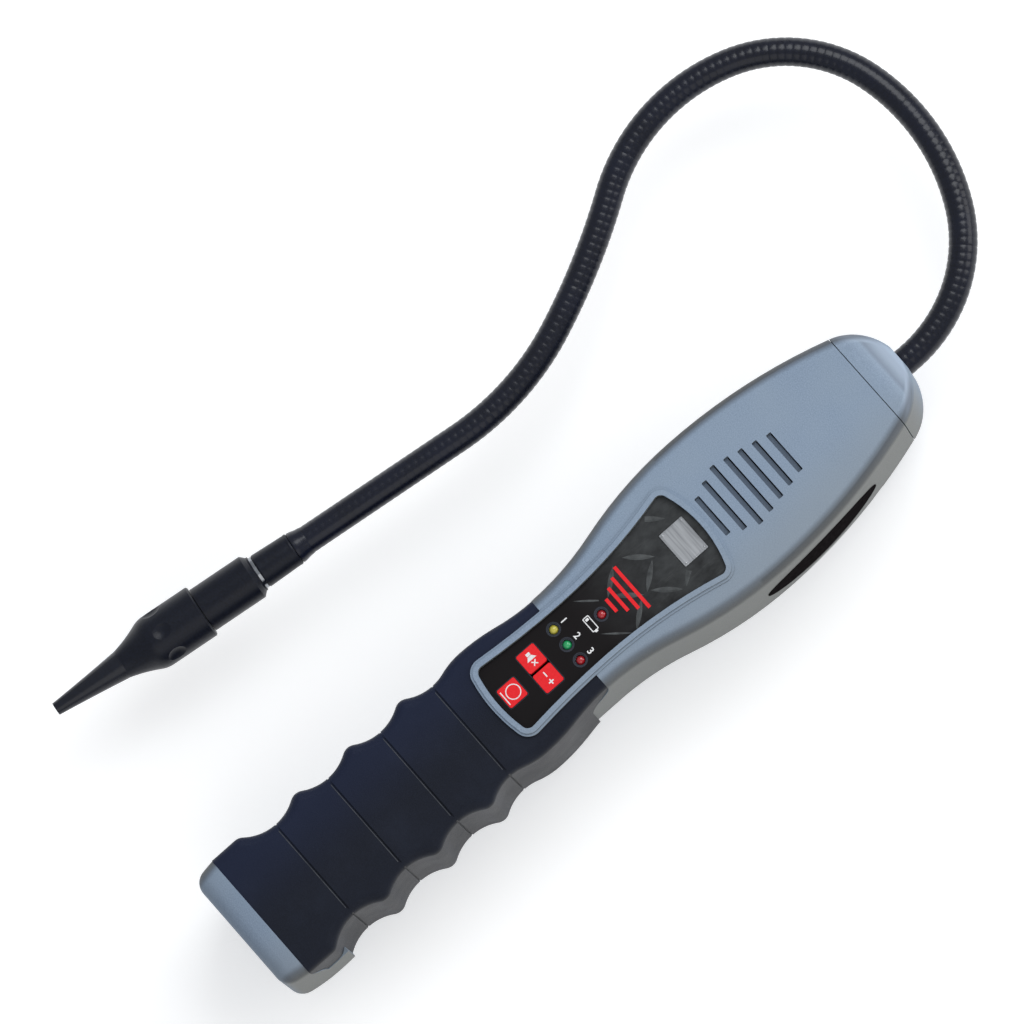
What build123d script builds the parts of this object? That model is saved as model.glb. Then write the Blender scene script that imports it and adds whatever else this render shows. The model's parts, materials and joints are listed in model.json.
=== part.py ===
from build123d import *
from math import asin, atan2, cos, pi, radians, sin, sqrt
import os

# A handheld refrigerant leak detector with a bendable neck, lying on its back.
# +X is the right side, +Y runs from the butt to the nose, +Z is the keypad side.
# The origin is the centre of the flat back face under the head, and sizes are in mm.
# A station is a distance along the body, measured from the butt.

# Housing
ORIGIN_STATION = 193.0
FRONT_Z = 40.0
PARTING_Z = 10.0
WALL = 2.2
FRONT_RADIUS = 4.5
BACK_RADIUS = 8.0
BUTT_HALF = 21.0
BUTT_CORNER = 5.0
POMMEL_STATION = 13.2
POMMEL_HALF = 22.9
POMMEL_BOW = 0.4
POMMEL_END = 24.0
WAIST_STATION = 131.7
WAIST_HALF = 17.7
HEAD_STATION = 193.0
HEAD_HALF = 26.1
BELLY_RADIUS = 135.0
CAP_STATION = 249.3
CAP_HALF = 17.5
CEILING_Z = 36.8

# Grip core and its rubber
CORE_START = 6.0
CORE_HALF = 16.9
CORE_BACK_Z = 0.8
CORE_FRONT_Z = 38.2
CORE_RADIUS = 2.5
SLEEVE_FRONT_Z = 39.6
SLEEVE_EDGE_RADIUS = 3.2
SLEEVE_BASE_HALF = 22.6
VALLEY_HALF = 18.1
VALLEY_STATION = 29.9
VALLEY_PITCH = 20.75
VALLEY_COUNT = 4
PEAK_RISE = 4.0
PEAK_RADIUS = 4.0
BULGE_RUN = 12.55
BULGE_HALF = 20.1
SLEEVE_TOP_INSET = 0.3
GRIP_LINE_WIDTH = 0.5
GRIP_LINE_DEPTH = 0.5
SLEEVE_FRONT_START = 8.4
SLEEVE_SIDE_START = 13.0
SLEEVE_BACK_START = 21.0
SLEEVE_FRONT_END = 131.2
SLEEVE_BACK_END = 122.8
SLEEVE_STEP_Z = 22.0
SLEEVE_CORNER_Z = 36.0

# Label, its bezel and the slots above it
LABEL_BOTTOM = 103.5
LABEL_TOP = 184.2
LABEL_BOTTOM_HALF = 12.2
LABEL_WAIST_STATION = 137.0
LABEL_WAIST_HALF = 10.4
LABEL_TOP_HALF = 15.9
LABEL_ARCH = 1.6
LABEL_CORNER = 2.4
LABEL_FLOOR_Z = 39.0
LABEL_THICKNESS = 0.45
LABEL_GAP = 0.1
BEZEL_INNER_WIDTH = 1.6
BEZEL_OUTER_WIDTH = 2.4
BEZEL_TOP_Z = 41.0
BEZEL_STEP_Z = 40.4
SLOT_LENGTHS = (14.7, 19.0, 22.9, 21.2, 19.2, 17.1, 14.9)
SLOT_STATION = 188.5
SLOT_PITCH = 4.77
SLOT_WIDTH = 1.8
SLOT_CORNER = 0.3
SLOT_DEPTH = 1.2
SLIT_WIDTH = 0.4

# Keys and lamps
KEY_SIZE = 6.8
KEY_CORNER = 0.6
KEY_GAP = 0.94
KEY_CLEARANCE = 0.12
KEY_TOP_Z = 39.75
KEY_TRAVEL = 0.4
KEY_HEIGHT = 1.9
KEY_STEM_RADIUS = 1.6
PAIR_STATION = 119.9
POWER_STATION = 108.9
LAMP_ROW_STATION = 130.6
LAMP_ROW_PITCH = 6.15
LOW_BATTERY_STATION = 144.3
LAMP_RADIUS = 1.5
LAMP_HOLE_RADIUS = 2.0
LAMP_TOP_Z = 39.7
LAMP_FLANGE_RADIUS = 1.9
LAMP_FLANGE_HEIGHT = 1.0

# Circuit board and speaker
BOARD_START = 103.8
BOARD_END = 166.0
BOARD_HALF = 9.2
BOARD_Z = 30.0
BOARD_THICKNESS = 1.6
BOARD_POST_RADIUS = 1.9
BOARD_POST_STATIONS = (138.0, 162.0)
BOARD_POST_X = 6.2
SMALL_SCREW_RADIUS = 0.9
SMALL_SCREW_LENGTH = 4.0
SMALL_SCREW_HEAD_RADIUS = 1.7
SMALL_SCREW_HEAD_HEIGHT = 1.1
THREAD_CLEARANCE = 0.05
SWITCH_SIZE = 6.0
SWITCH_HEIGHT = 3.4
SWITCH_TOP_Z = 36.0
SWITCH_GAP = 0.05
SPEAKER_STATION = 203.0
SPEAKER_RADIUS = 14.0
SPEAKER_DEPTH = 5.2
SPEAKER_GAP = 0.2
SPEAKER_RING_WALL = 1.4
SPEAKER_MAGNET_RADIUS = 8.0
SPEAKER_RIM = 1.2
POST_ROOT = 0.6

# Battery compartment
CELL_RADIUS = 7.25
CELL_LENGTH = 50.5
CELL_NUB_RADIUS = 2.6
CELL_NUB_HEIGHT = 1.2
CELL_GAP = 0.1
DOOR_TONGUE = 1.0
DOOR_OUTER_Z = 0.5
DOOR_PLATE = 2.1
DOOR_TONGUE_THICKNESS = 0.9
DOOR_CLEARANCE = 0.1
DOOR_BUTT_GAP = 0.3
DOOR_GRIP_COUNT = 5
DOOR_GRIP_PITCH = 2.2
DOOR_GRIP_LENGTH = 16.0
DOOR_GRIP_WIDTH = 1.0
DOOR_GRIP_DEPTH = 0.5
DOOR_GRIP_STATION = 12.0
TRAY_START = 4.0
TRAY_WALL = 1.4
TRAY_POST_RADIUS = 2.4
TRAY_POST_STATIONS = (32.0, 86.0)
CONTACT_THICKNESS = 0.4
CONTACT_WIDTH = 9.0
SPRING_LENGTH = 4.0
SPRING_HALF_HEIGHT = 4.2
SPRING_WIDTH = 5.0
SPRING_THICKNESS = 0.4

# Case screws
SCREW_PLACES = ((13.2, 150.0), (13.4, 234.0))
SCREW_BOSS_RADIUS = 3.8
SCREW_RADIUS = 1.4
SCREW_CLEARANCE = 0.3
SCREW_HEAD_RADIUS = 2.6
SCREW_HEAD_HEIGHT = 2.0
SCREW_SINK = 3.0
SCREW_LENGTH = 14.0
SCREW_CROSS_WIDTH = 0.7

# Side label
SIDE_LABEL_STATION = 208.5
SIDE_LABEL_LENGTH = 46.0
SIDE_LABEL_WIDTH = 17.0
SIDE_LABEL_Z = 20.5
SIDE_LABEL_THICKNESS = 0.25

# Nose cap
CAP_GROOVE = 0.25
CAP_DROP = 6.0
CAP_STEPS = (0.25, 0.48, 0.68, 0.85, 0.957)
CAP_END_RADIUS = 3.6
SPIGOT_DEPTH = 4.0
SPIGOT_CLEARANCE = 0.1
SPIGOT_WALL = 1.6

# Neck
NECK_Z = 20.0
NECK_RADIUS = 4.35
NECK_GAP = 0.15
NECK_INNER_STATION = 240.0
NECK_START_STATION = 266.0
NECK_START_HEADING = 91.5
# Each bend is a radius and a turn in degrees, positive to the left.
NECK_BENDS = ((46.3, 60.7), (67.3, 41.7), (45.5, 56.3), (60.3, 52.7), (217.0, -11.7), (87.5, -28.8))
NECK_LAST_LENGTH = 59.2
BALL_CLEARANCE = 0.05
SOCKET_START = 1.2
ANCHOR_RADIUS = 6.5
ANCHOR_GROOVE_RADIUS = 5.4
ANCHOR_LENGTH = 8.0
ANCHOR_GROOVE_WIDTH = 2.3
CRADLE_STATION = 244.0
CRADLE_THICKNESS = 2.0
CRADLE_HALF = 9.0
CRADLE_CLEARANCE = 0.1

# Sensor end, measured along its own axis from where the ferrule grips the neck
FERRULE_LENGTH = 12.6
FERRULE_START_RADIUS = 5.2
FERRULE_END_RADIUS = 5.55
FERRULE_ROUND = 0.6
NECK_IN_FERRULE = 8.0
CRIMP_GAP = 0.05
RING_LENGTH = 0.9
RING_RADIUS = 5.4
STEM_RADIUS = 3.2
STEM_IN_FERRULE = 3.5
HOLDER_START = 14.0
HOLDER_SHOULDER = 33.3
HOLDER_END = 40.0
HOLDER_RADIUS = 7.3
HOLDER_NECK_RADIUS = 5.9
HOLDER_CHAMFER = 1.4
SOCKET_RADIUS = 6.4
SENSOR_RADIUS = 4.6
SENSOR_START = 37.0
SENSOR_END = 46.0
SENSOR_RIM = 0.5
SENSOR_GAP = 0.1
PIN_RADIUS = 0.4
PIN_LENGTH = 3.0
PIN_CIRCLE_RADIUS = 2.6
PIN_COUNT = 4
COVER_START = 33.6
COVER_BARREL_END = 49.6
COVER_END = 62.4
COVER_RADIUS = 8.65
COVER_TIP_RADIUS = 4.65
COVER_CLEARANCE = 0.06
COVER_LIP = 0.4
COVER_SHOULDER_RUN = 3.8
COVER_SHOULDER_DROP = 0.85
CHAMBER_END = 50.0
SCOOP_COUNT = 6
SCOOP_RADIUS = 6.0
SCOOP_DEPTH = 0.8
SCOOP_FROM_END = 3.0
FILTER_THICKNESS = 1.4
FILTER_GAP = 0.05
NOZZLE_LENGTH = 24.2
NOZZLE_MID_RADIUS = 3.25
NOZZLE_TIP_RADIUS = 2.05
NOZZLE_BORE_RADIUS = 1.1
NOZZLE_SPIGOT_RADIUS = 2.9
NOZZLE_SPIGOT_LENGTH = 5.0

# Longer than the whole instrument, for cuts that run right through
FAR = 400.0

os.makedirs("parts", exist_ok=True)


def at(station):
    """The Y of a station."""
    return station - ORIGIN_STATION


def finish(part, name):
    """Labels a finished piece and writes its file."""
    part.label = name
    export_step(part, f"parts/{name}.step")


def block(low, high):
    """A plain block between two opposite corners."""
    with BuildPart() as made:
        with BuildSketch(Plane.XY.offset(low[2])):
            with Locations(((low[0] + high[0]) / 2, (low[1] + high[1]) / 2)):
                Rectangle(high[0] - low[0], high[1] - low[1])
        extrude(amount=high[2] - low[2])
    return made.part


# The waist flows into the belly, the belly into the shoulder and the shoulder into the nose.
belly_rise = HEAD_HALF - WAIST_HALF
belly_run = HEAD_STATION - WAIST_STATION
waist_radius = (belly_rise**2 + belly_run**2) / (2 * belly_rise) - BELLY_RADIUS
belly_turn = atan2(belly_run, BELLY_RADIUS + waist_radius - belly_rise)
shoulder_drop = HEAD_HALF - CAP_HALF
shoulder_run = CAP_STATION - HEAD_STATION
shoulder_radius = (shoulder_run**2 + shoulder_drop**2) / (2 * shoulder_drop)
nose_slope = asin(shoulder_run / shoulder_radius)
nose_radius = CAP_HALF / cos(nose_slope)
nose_centre = CAP_STATION - nose_radius * sin(nose_slope)
NOSE_STATION = nose_centre + nose_radius


def housing_outline(inset):
    """The housing in plan, from the butt to the nose, moved in by the inset."""
    with BuildSketch() as outline:
        with BuildLine():
            butt = Line((0, at(0)), (BUTT_HALF, at(0)))
            pommel_bow = (BUTT_HALF + POMMEL_HALF) / 2 + POMMEL_BOW
            pommel_middle = (pommel_bow, at(POMMEL_STATION / 2))
            pommel = ThreePointArc(butt @ 1, pommel_middle, (POMMEL_HALF, at(POMMEL_STATION)))
            grip_start = (WAIST_HALF, at(WAIST_STATION / 2))
            grip_side = Spline(
                pommel @ 1,
                (POMMEL_HALF - POMMEL_BOW, at(POMMEL_END)),
                grip_start,
                tangents=[pommel % 1, (0, 1)],
            )
            grip_top = Line(grip_side @ 1, (WAIST_HALF, at(WAIST_STATION)))
            belly_start = (
                HEAD_HALF - BELLY_RADIUS * (1 - cos(belly_turn)),
                at(HEAD_STATION) - BELLY_RADIUS * sin(belly_turn),
            )
            waist = TangentArc(grip_top @ 1, belly_start, tangent=(0, 1))
            belly = TangentArc(waist @ 1, (HEAD_HALF, at(HEAD_STATION)), tangent=waist % 1)
            shoulder = TangentArc(belly @ 1, (CAP_HALF, at(CAP_STATION)), tangent=(0, 1))
            TangentArc(shoulder @ 1, (0, at(NOSE_STATION)), tangent=shoulder % 1)
            mirror(about=Plane.YZ)
        make_face()
        butt_corners = outline.vertices().filter_by(lambda corner: abs(abs(corner.X) - BUTT_HALF) < 0.01)
        fillet(butt_corners, radius=BUTT_CORNER)
        if inset:
            offset(amount=-inset)
    return outline.sketch


def housing_form(inset, top_z, end_station):
    """The moulded form up to a station, moved in by the inset, with a flat top at the given height."""
    with BuildPart() as form:
        with BuildSketch(Plane.XY.offset(inset)):
            add(housing_outline(inset))
        extrude(amount=top_z - inset)
        fillet(form.edges().group_by(Axis.Z)[-1], radius=FRONT_RADIUS - inset)
        fillet(form.edges().group_by(Axis.Z)[0], radius=BACK_RADIUS - inset)
        add(block((-FAR, at(end_station), -FAR), (FAR, at(end_station) + FAR, FAR)), mode=Mode.SUBTRACT)
    return form.part


def spigot_form(inset, top_z, low_station, high_station):
    """A short length of the housing's form, moved in by the inset."""
    with BuildPart() as form:
        with BuildSketch(Plane.XY.offset(inset)):
            add(housing_outline(inset))
            with Locations((0, at((low_station + high_station) / 2))):
                Rectangle(FAR, high_station - low_station, mode=Mode.INTERSECT)
        extrude(amount=top_z - inset)
        long_edges = form.edges().filter_by(Axis.X, reverse=True)
        fillet(long_edges.group_by(Axis.Z)[-1], radius=FRONT_RADIUS - inset)
        long_edges = form.edges().filter_by(Axis.X, reverse=True)
        fillet(long_edges.group_by(Axis.Z)[0], radius=BACK_RADIUS - inset)
    return form.part


def cap_section(station, inset):
    """A cross-section of the nose cap, which closes in from the front, the back and both sides."""
    run = (station - CAP_STATION) / (NOSE_STATION - CAP_STATION)
    drop = CAP_DROP * (1 - sqrt(1 - run**2))
    half_width = sqrt(nose_radius**2 - (station - nose_centre) ** 2) - inset
    height = FRONT_Z - 2 * drop - 2 * inset
    with BuildSketch(Plane.XZ.offset(-at(station))) as section:
        with Locations((0, FRONT_Z / 2)):
            Rectangle(2 * half_width, height)
        front_corners = section.vertices().group_by(Axis.Y)[-1]
        fillet(front_corners, radius=FRONT_RADIUS + (CAP_END_RADIUS - FRONT_RADIUS) * run - inset / 2)
        back_corners = section.vertices().group_by(Axis.Y)[0]
        fillet(back_corners, radius=BACK_RADIUS + (CAP_END_RADIUS - BACK_RADIUS) * run - inset / 2)
    return section.sketch


def cap_form(steps, inset):
    """The nose cap's form through sections at shares of its length, moved in by the inset."""
    with BuildPart() as form:
        for step in steps:
            add(cap_section(CAP_STATION + step * (NOSE_STATION - CAP_STATION), inset))
        loft()
    return form.part


def label_half(corner_half, corner_station, end_station, grow):
    """One end of the label, from the waist out: two hollow sides and an arched end."""
    side_drop = corner_half - LABEL_WAIST_HALF
    side_run = abs(LABEL_WAIST_STATION - corner_station)
    side_radius = (side_drop**2 + side_run**2) / (2 * side_drop)
    end_drop = abs(end_station - corner_station)
    end_radius = (end_drop**2 + corner_half**2) / (2 * end_drop)
    outward = 1 if end_station > LABEL_WAIST_STATION else -1
    reach = abs(end_station - LABEL_WAIST_STATION) + 2 * FRONT_RADIUS
    with BuildSketch() as half:
        with Locations((0, at(LABEL_WAIST_STATION + outward * reach / 2))):
            Rectangle(4 * corner_half, reach)
        with Locations((0, at(end_station - outward * end_radius))):
            Circle(end_radius + grow, mode=Mode.INTERSECT)
        side_centre = LABEL_WAIST_HALF + side_radius
        with Locations(*[(side * side_centre, at(LABEL_WAIST_STATION)) for side in (-1, 1)]):
            Circle(side_radius - grow, mode=Mode.SUBTRACT)
        ends = half.vertices().filter_by(
            lambda corner: abs(corner.Y - at(LABEL_WAIST_STATION)) > LABEL_CORNER
        )
        fillet(ends, radius=LABEL_CORNER + grow)
    return half.sketch


def label_outline(grow):
    """The label's outline in plan, waisted like the housing, moved out by the given width."""
    with BuildSketch() as label:
        add(label_half(LABEL_BOTTOM_HALF, LABEL_BOTTOM + LABEL_ARCH, LABEL_BOTTOM, grow))
        add(label_half(LABEL_TOP_HALF, LABEL_TOP - 2 * LABEL_ARCH, LABEL_TOP, grow))
    return label.sketch


# Places of the panel's keys and lamps
pair_offset = (KEY_SIZE + KEY_GAP) / 2
KEY_PLACES = {
    "power": (0.0, at(POWER_STATION)),
    "mute": (-pair_offset, at(PAIR_STATION)),
    "sensitivity": (pair_offset, at(PAIR_STATION)),
}
LAMP_PLACES = {
    "yellow_lamp": (-LAMP_ROW_PITCH, at(LAMP_ROW_STATION)),
    "green_lamp": (0.0, at(LAMP_ROW_STATION)),
    "red_lamp": (LAMP_ROW_PITCH, at(LAMP_ROW_STATION)),
    "low_battery_lamp": (0.0, at(LOW_BATTERY_STATION)),
}
SCREW_SPOTS = [(side * x, at(station)) for x, station in SCREW_PLACES for side in (-1, 1)]
BOARD_SPOTS = [(side * BOARD_POST_X, at(station)) for station in BOARD_POST_STATIONS for side in (-1, 1)]
TRAY_SPOTS = [(0.0, at(station)) for station in TRAY_POST_STATIONS]


def panel_openings(lamp_radius):
    """The openings in the panel: one for the pair of keys, one for the power key, and the lamp holes."""
    with BuildSketch() as openings:
        opening = KEY_SIZE + 2 * KEY_CLEARANCE
        with Locations(KEY_PLACES["power"]):
            RectangleRounded(opening, opening, KEY_CORNER)
        with Locations((0, at(PAIR_STATION))):
            RectangleRounded(opening + 2 * pair_offset, opening, KEY_CORNER)
        with Locations(*LAMP_PLACES.values()):
            Circle(lamp_radius)
    return openings.sketch


def speaker_slots():
    """The row of slots above the label, longest near the middle."""
    with BuildSketch() as slots:
        for place, length in enumerate(SLOT_LENGTHS):
            with Locations((0, at(SLOT_STATION + place * SLOT_PITCH))):
                RectangleRounded(length, SLOT_WIDTH, SLOT_CORNER)
    return slots.sketch


def speaker_slits():
    """A narrow slit along the nose side of each slot."""
    with BuildSketch() as slits:
        for place, length in enumerate(SLOT_LENGTHS):
            with Locations((0, at(SLOT_STATION + place * SLOT_PITCH) + (SLOT_WIDTH - SLIT_WIDTH) / 2)):
                Rectangle(length - 2 * SLOT_CORNER, SLIT_WIDTH)
    return slits.sketch


# The rubber covers the grip's front from edge to edge, and less of it towards the back.
with BuildPart() as rubber_region:
    with BuildSketch(Plane.YZ):
        with BuildLine():
            front_low = (at(SLEEVE_FRONT_START), SLEEVE_CORNER_Z)
            front_high = (at(SLEEVE_FRONT_END), SLEEVE_CORNER_Z)
            side_low = (at(SLEEVE_SIDE_START), SLEEVE_STEP_Z)
            side_high = (at(SLEEVE_BACK_END), SLEEVE_STEP_Z)
            Polyline(front_low, (front_low[0], FAR), (front_high[0], FAR), front_high)
            Spline(front_high, side_high, tangents=[(0, -1), (-0.05, -1)])
            Polyline(
                side_high,
                (side_high[0], -FAR),
                (at(SLEEVE_BACK_START), -FAR),
                (at(SLEEVE_BACK_START), SLEEVE_STEP_Z),
                side_low,
            )
            Spline(side_low, front_low, tangents=[(-0.05, 1), (0, 1)])
        make_face()
    extrude(amount=FAR, both=True)

with BuildPart() as grip_core:
    with BuildSketch(Plane.XZ.offset(-at(CORE_START))):
        with Locations((0, (CORE_BACK_Z + CORE_FRONT_Z) / 2)):
            RectangleRounded(2 * CORE_HALF, CORE_FRONT_Z - CORE_BACK_Z, CORE_RADIUS)
    extrude(amount=CORE_START - WAIST_STATION - WALL)

# Battery compartment: the heights follow from the door, the cells and their gaps.
tongue_low = DOOR_OUTER_Z + DOOR_PLATE
tongue_high = tongue_low + DOOR_TONGUE_THICKNESS
cell_low_z = tongue_high + DOOR_CLEARANCE
cell_z = cell_low_z + CELL_GAP + CELL_RADIUS
cell_x = CELL_RADIUS + CELL_GAP / 2
compartment_half = 2 * CELL_RADIUS + 2 * CELL_GAP
tray_z = cell_z + CELL_RADIUS + CELL_GAP
tray_half = compartment_half - CELL_GAP
line_start = TRAY_START + TRAY_WALL + CONTACT_THICKNESS
line_end = line_start + 2 * CELL_LENGTH + CELL_GAP + SPRING_LENGTH
TRAY_END = line_end + CONTACT_THICKNESS + TRAY_WALL
DOOR_END = line_end

# The way that the door slides along, open at the butt
door_half = 2 * CELL_RADIUS + CELL_GAP
groove_half = door_half + DOOR_TONGUE
with BuildPart() as door_way:
    add(
        block(
            (-door_half - DOOR_CLEARANCE, at(-FAR), -FAR),
            (door_half + DOOR_CLEARANCE, at(DOOR_END + DOOR_CLEARANCE), cell_low_z + WALL),
        )
    )
    add(
        block(
            (-groove_half - DOOR_CLEARANCE, at(-FAR), tongue_low - DOOR_CLEARANCE),
            (groove_half + DOOR_CLEARANCE, at(DOOR_END + DOOR_CLEARANCE), tongue_high + DOOR_CLEARANCE),
        )
    )
    open_low_z = cell_low_z + DOOR_CLEARANCE
    add(block((-FAR, at(-FAR), open_low_z), (FAR, at(TRAY_START - CELL_GAP), FAR)), mode=Mode.SUBTRACT)

# The inside of the closed housing
with BuildPart() as cavity:
    add(housing_form(WALL, CEILING_Z, CAP_STATION))
    add(block((-FAR, at(-FAR), -FAR), (FAR, at(SLEEVE_BACK_END + WALL), FAR)), mode=Mode.SUBTRACT)
    add(
        block(
            (-compartment_half, at(TRAY_START - CELL_GAP), cell_low_z),
            (compartment_half, at(SLEEVE_BACK_END + 2 * WALL), CEILING_Z),
        )
    )

# The whole housing, before it is parted into two shells
with BuildPart() as housing:
    add(housing_form(0, FRONT_Z, CAP_STATION))
    add(rubber_region.part, mode=Mode.SUBTRACT)
    add(grip_core.part)
    with BuildSketch(Plane.XY.offset(CEILING_Z)):
        add(label_outline(BEZEL_OUTER_WIDTH))
    extrude(amount=BEZEL_STEP_Z - CEILING_Z)
    with BuildSketch(Plane.XY.offset(CEILING_Z)):
        add(label_outline(BEZEL_INNER_WIDTH))
    extrude(amount=BEZEL_TOP_Z - CEILING_Z)
    with BuildSketch(Plane.XY.offset(LABEL_FLOOR_Z)):
        add(label_outline(0))
    extrude(amount=FAR, mode=Mode.SUBTRACT)
    add(cavity.part, mode=Mode.SUBTRACT)
    add(door_way.part, mode=Mode.SUBTRACT)


def cradle(low_z, high_z):
    """A rib across the nose end with a round notch that holds the neck's anchor."""
    with BuildPart() as rib:
        with BuildSketch(Plane.XZ.offset(-at(CRADLE_STATION))):
            with Locations((0, (low_z + high_z) / 2)):
                Rectangle(2 * CRADLE_HALF, high_z - low_z)
            with Locations((0, NECK_Z)):
                Circle(ANCHOR_GROOVE_RADIUS + CRADLE_CLEARANCE, mode=Mode.SUBTRACT)
        extrude(amount=CRADLE_THICKNESS / 2, both=True)
    return rib.part


with BuildPart() as front_shell:
    add(housing.part)
    split(bisect_by=Plane.XY.offset(PARTING_Z), keep=Keep.TOP)
    # Screw bosses, board posts and tray posts hang from the inside of the front wall.
    with BuildSketch(Plane.XY.offset(PARTING_Z)):
        with Locations(*SCREW_SPOTS):
            Circle(SCREW_BOSS_RADIUS)
    extrude(amount=CEILING_Z - PARTING_Z + POST_ROOT)
    with BuildSketch(Plane.XY.offset(BOARD_Z + BOARD_THICKNESS)):
        with Locations(*BOARD_SPOTS):
            Circle(BOARD_POST_RADIUS)
    extrude(amount=CEILING_Z - BOARD_Z - BOARD_THICKNESS + POST_ROOT)
    with BuildSketch(Plane.XY.offset(tray_z + TRAY_WALL)):
        with Locations(*TRAY_SPOTS):
            Circle(TRAY_POST_RADIUS)
    extrude(amount=CEILING_Z - tray_z - TRAY_WALL + POST_ROOT)
    # Ring round the speaker
    with BuildSketch(Plane.XY.offset(CEILING_Z - SPEAKER_DEPTH)):
        with Locations((0, at(SPEAKER_STATION))):
            Circle(SPEAKER_RADIUS + SPEAKER_GAP + SPEAKER_RING_WALL)
            Circle(SPEAKER_RADIUS + SPEAKER_GAP, mode=Mode.SUBTRACT)
    extrude(amount=SPEAKER_DEPTH + POST_ROOT)
    add(cradle(NECK_Z + CRADLE_CLEARANCE, CEILING_Z + POST_ROOT))
    # Holes for the screws' threads
    with BuildSketch(Plane.XY.offset(PARTING_Z)):
        with Locations(*SCREW_SPOTS):
            Circle(SCREW_RADIUS + THREAD_CLEARANCE)
    extrude(amount=SCREW_LENGTH, mode=Mode.SUBTRACT)
    with BuildSketch(Plane.XY.offset(BOARD_Z + BOARD_THICKNESS)):
        with Locations(*BOARD_SPOTS):
            Circle(SMALL_SCREW_RADIUS + THREAD_CLEARANCE)
    extrude(amount=SMALL_SCREW_LENGTH, mode=Mode.SUBTRACT)
    with BuildSketch(Plane.XY.offset(tray_z + TRAY_WALL)):
        with Locations(*TRAY_SPOTS):
            Circle(SMALL_SCREW_RADIUS + THREAD_CLEARANCE)
    extrude(amount=SMALL_SCREW_LENGTH, mode=Mode.SUBTRACT)
    # Openings in the front
    with BuildSketch(Plane.XY.offset(CEILING_Z - WALL)):
        add(panel_openings(LAMP_RADIUS + KEY_CLEARANCE))
    extrude(amount=FAR, mode=Mode.SUBTRACT)
    # Each slot is a shallow recess, with a slit through the wall along its nose side.
    with BuildSketch(Plane.XY.offset(FRONT_Z - SLOT_DEPTH)):
        add(speaker_slots())
    extrude(amount=FAR, mode=Mode.SUBTRACT)
    with BuildSketch(Plane.XY.offset(CEILING_Z)):
        add(speaker_slits())
    extrude(amount=FAR, mode=Mode.SUBTRACT)
finish(front_shell.part, "front_shell")

with BuildPart() as rear_shell:
    add(housing.part)
    split(bisect_by=Plane.XY.offset(PARTING_Z), keep=Keep.BOTTOM)
    with BuildSketch(Plane.XY.offset(WALL - POST_ROOT)):
        with Locations(*SCREW_SPOTS):
            Circle(SCREW_BOSS_RADIUS)
    extrude(amount=PARTING_Z - WALL + POST_ROOT)
    add(cradle(WALL - POST_ROOT, NECK_Z))
    with BuildSketch(Plane.XY):
        with Locations(*SCREW_SPOTS):
            Circle(SCREW_RADIUS + SCREW_CLEARANCE)
    extrude(amount=FAR, mode=Mode.SUBTRACT)
    with BuildSketch(Plane.XY):
        with Locations(*SCREW_SPOTS):
            Circle(SCREW_HEAD_RADIUS + SCREW_CLEARANCE)
    extrude(amount=SCREW_SINK + SCREW_HEAD_HEIGHT, mode=Mode.SUBTRACT)
finish(rear_shell.part, "rear_shell")

# Nose cap: a domed end with a spigot that plugs into the shells
spigot_inset = WALL + SPIGOT_CLEARANCE
cap_inset = spigot_inset + SPIGOT_WALL
groove_step = CAP_GROOVE / (NOSE_STATION - CAP_STATION)
spigot_top = CEILING_Z - SPIGOT_CLEARANCE
with BuildPart() as nose_cap:
    add(spigot_form(spigot_inset, spigot_top, CAP_STATION - SPIGOT_DEPTH, CAP_STATION + 2 * CAP_GROOVE))
    add(cap_form((groove_step,) + CAP_STEPS, 0))
    bore_top = spigot_top - SPIGOT_WALL
    bore_start = CAP_STATION - 2 * SPIGOT_DEPTH
    add(spigot_form(cap_inset, bore_top, bore_start, CAP_STATION + 2 * CAP_GROOVE), mode=Mode.SUBTRACT)
    add(cap_form((groove_step,) + CAP_STEPS[:-2], cap_inset), mode=Mode.SUBTRACT)
    with BuildSketch(Plane.XZ.offset(-at(CAP_STATION))):
        with Locations((0, NECK_Z)):
            Circle(NECK_RADIUS + NECK_GAP)
    extrude(amount=-FAR, mode=Mode.SUBTRACT)
finish(nose_cap.part, "nose_cap")

# Rubber grip: scalloped sides, with a crisp round on the front and back edges
peak_half = VALLEY_HALF + PEAK_RISE
scallop_radius = (PEAK_RISE**2 + (VALLEY_PITCH / 2) ** 2) / (2 * PEAK_RISE)


# The last valley turns into the bulge, and the bulge into the waist, each by a pair of tangent arcs.
sleeve_top_half = WAIST_HALF - SLEEVE_TOP_INSET
last_valley_station = VALLEY_STATION + (VALLEY_COUNT - 1) * VALLEY_PITCH
bulge_rise = BULGE_HALF - VALLEY_HALF
bulge_station = last_valley_station + BULGE_RUN
bulge_radii = (bulge_rise**2 + BULGE_RUN**2) / (2 * bulge_rise)
bulge_share = scallop_radius / bulge_radii
fall_drop = BULGE_HALF - sleeve_top_half
fall_run = WAIST_STATION - bulge_station
base_run = sqrt(scallop_radius**2 - (scallop_radius + VALLEY_HALF - SLEEVE_BASE_HALF) ** 2)


def valley(place):
    return at(VALLEY_STATION + place * VALLEY_PITCH)


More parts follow.
